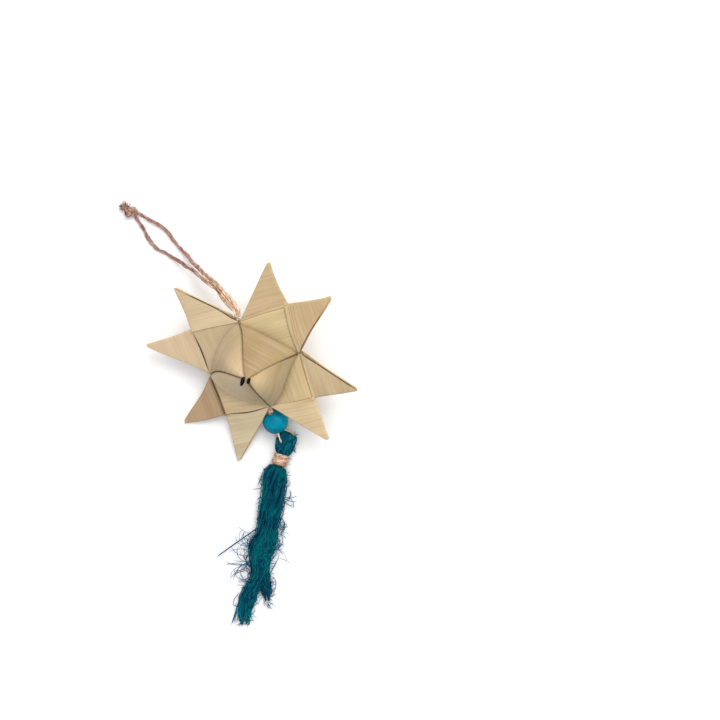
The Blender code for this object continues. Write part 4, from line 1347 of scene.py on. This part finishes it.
# Single strays: half width in mm, then the route as seen from above
STRAYS = (
    (0.28, (262.4, 474.5), (259.7, 480.8), (257.5, 485.6)),
    (0.13, (252.1, 489.2), (257.5, 488.8), (263.4, 487.6)),
    (0.22, (257.0, 499.7), (259.7, 498.1), (263.9, 497.0)),
    (0.26, (260.1, 526.3), (240.2, 540.0), (225.0, 550.8), (216.3, 557.1)),
    (0.16, (283.5, 474.0), (286.8, 484.0), (285.7, 495.3), (282.4, 506.2), (283.2, 513.7), (280.5, 520.0)),
    (0.15, (284.0, 482.0), (288.3, 480.2), (290.2, 483.0), (286.6, 487.5), (285.4, 494.0)),
    (0.13, (284.5, 497.0), (291.5, 499.5), (293.8, 507.5), (287.0, 503.5), (282.0, 500.0)),
    (0.14, (281.8, 487.0), (283.4, 497.0), (284.3, 507.0), (282.4, 516.0), (280.0, 522.0)),
    (0.17, (278.1, 520.3), (282.4, 519.0), (284.8, 523.5), (283.5, 529.0), (279.2, 534.4), (277.0, 530.0)),
    (0.17, (277.0, 536.5), (279.7, 540.9), (279.2, 547.4), (273.8, 551.0)),
    (0.15, (281.4, 532.0), (282.4, 543.0), (277.0, 549.5), (273.2, 551.7)),
    (0.20, (269.5, 574.5), (274.3, 566.0), (277.0, 560.4), (279.2, 558.2)),
    (0.10, (279.2, 558.2), (285.7, 560.4), (289.5, 563.1)),
    (0.07, (281.4, 549.5), (285.7, 557.1), (289.5, 563.1)),
    (0.13, (271.0, 576.0), (275.4, 579.9), (275.9, 585.3), (274.3, 591.8), (272.0, 596.5)),
    (0.13, (265.1, 600.5), (269.0, 605.0), (272.7, 610.2)),
    (0.13, (269.4, 602.6), (277.0, 607.0)),
    (0.13, (262.9, 599.4), (267.0, 606.0), (272.7, 609.5)),
    (0.28, (238.0, 604.0), (234.2, 616.7), (231.3, 624.9)),
    (0.24, (239.2, 606.0), (235.3, 616.7), (235.0, 624.3)),
    (0.20, (241.0, 608.0), (238.0, 616.7), (236.4, 623.2)),
    (0.20, (243.4, 610.0), (243.4, 619.0), (242.6, 627.0)),
    (0.20, (246.0, 612.0), (247.2, 622.0), (247.6, 627.6)),
    (0.18, (248.3, 614.0), (250.0, 619.0), (249.9, 623.2)),
    (0.16, (249.4, 612.0), (251.8, 618.0), (253.5, 622.7)),
    (0.16, (240.0, 612.0), (240.6, 620.0), (239.6, 627.5)),
    (0.12, (249.9, 605.9), (253.7, 607.0), (254.8, 610.2), (253.2, 614.6), (255.4, 616.7)),
    (0.15, (239.5, 592.5), (234.2, 599.4), (233.7, 604.8), (236.4, 607.0), (238.0, 604.8)),
    (0.15, (247.0, 566.0), (240.0, 570.5), (234.5, 570.2)),
    (0.13, (250.0, 562.0), (241.0, 561.5), (233.0, 560.4)),
)
for half_width, *spots in STRAYS:
    raised = [(x, y, 1.6 + 2.2 * (i == 0)) for i, (x, y) in enumerate(spots)]
    hairs.append((seen_route(raised, 1.2 * MM), half_width * MM))
# The loose hairs take the brighter dye: painted light
fibre_piece("tassel_loose_hairs", hairs, finish=dyed_navy_painted_light)
print("head has", len(fibres), "fibres, and", len(hairs), "hairs stand loose")

# %% [markdown]
# The binding is thinner twine, wound five times round the neck, and a finer one crosses over it.

# %% The binding
wrap_start = head + direction * (HEAD_LENGTH / 2 + GAP)


def wound(count, turns, first, last, radius, waver=0.0):
    """A route round the neck, from one share of the binding's length to another."""
    points = []
    for i in range(count):
        share = i / (count - 1)
        out = around(head_side, UP, share * turns * 2 * pi) * (radius + waver * sin(i * 0.7))
        points.append(wrap_start + direction * (blend(first, last, share) * WRAP_LENGTH) + out)
    return points


net = new_net()
binding = wound(150, 5.0, 0.08, 0.92, 2.95 * MM, 0.12 * MM)
lay_twine(net, binding, 1.3 * MM, 0.68, 31, 0.5, 5.0 * MM, 1.6)
crossing = wound(60, -1.6, 0.85, 0.15, 3.35 * MM)
lay_twine(net, crossing, 0.9 * MM, 0.85, 32, 0.8, 4.0 * MM, 1.0)
wrap = piece_from(net, "twine_binding", jute, ["tassel_wrap"])
print("binding spans", [round(value / MM, 1) for value in wrap.dimensions], "mm")

# %% [markdown]
# White paper under the piece is plain, so it keeps a simple bright finish of its own.

# %% The paper
paper = Finish("white_paper", Roughness=0.85)
fleck = paper.speckle(paper.place(), 30.0, 2.0)
paper.drive("Base Color", paper.ramp(fleck, (0.3, (0.90, 0.90, 0.90)), (0.7, (0.93, 0.93, 0.93))))
floor.data.materials.append(paper.material)
triangles = 0
for item in scene.objects:
    if item.type == "MESH" and not item.hide_render:
        triangles += sum(len(face.vertices) - 2 for face in item.data.polygons)
print("triangles before modifiers:", triangles)
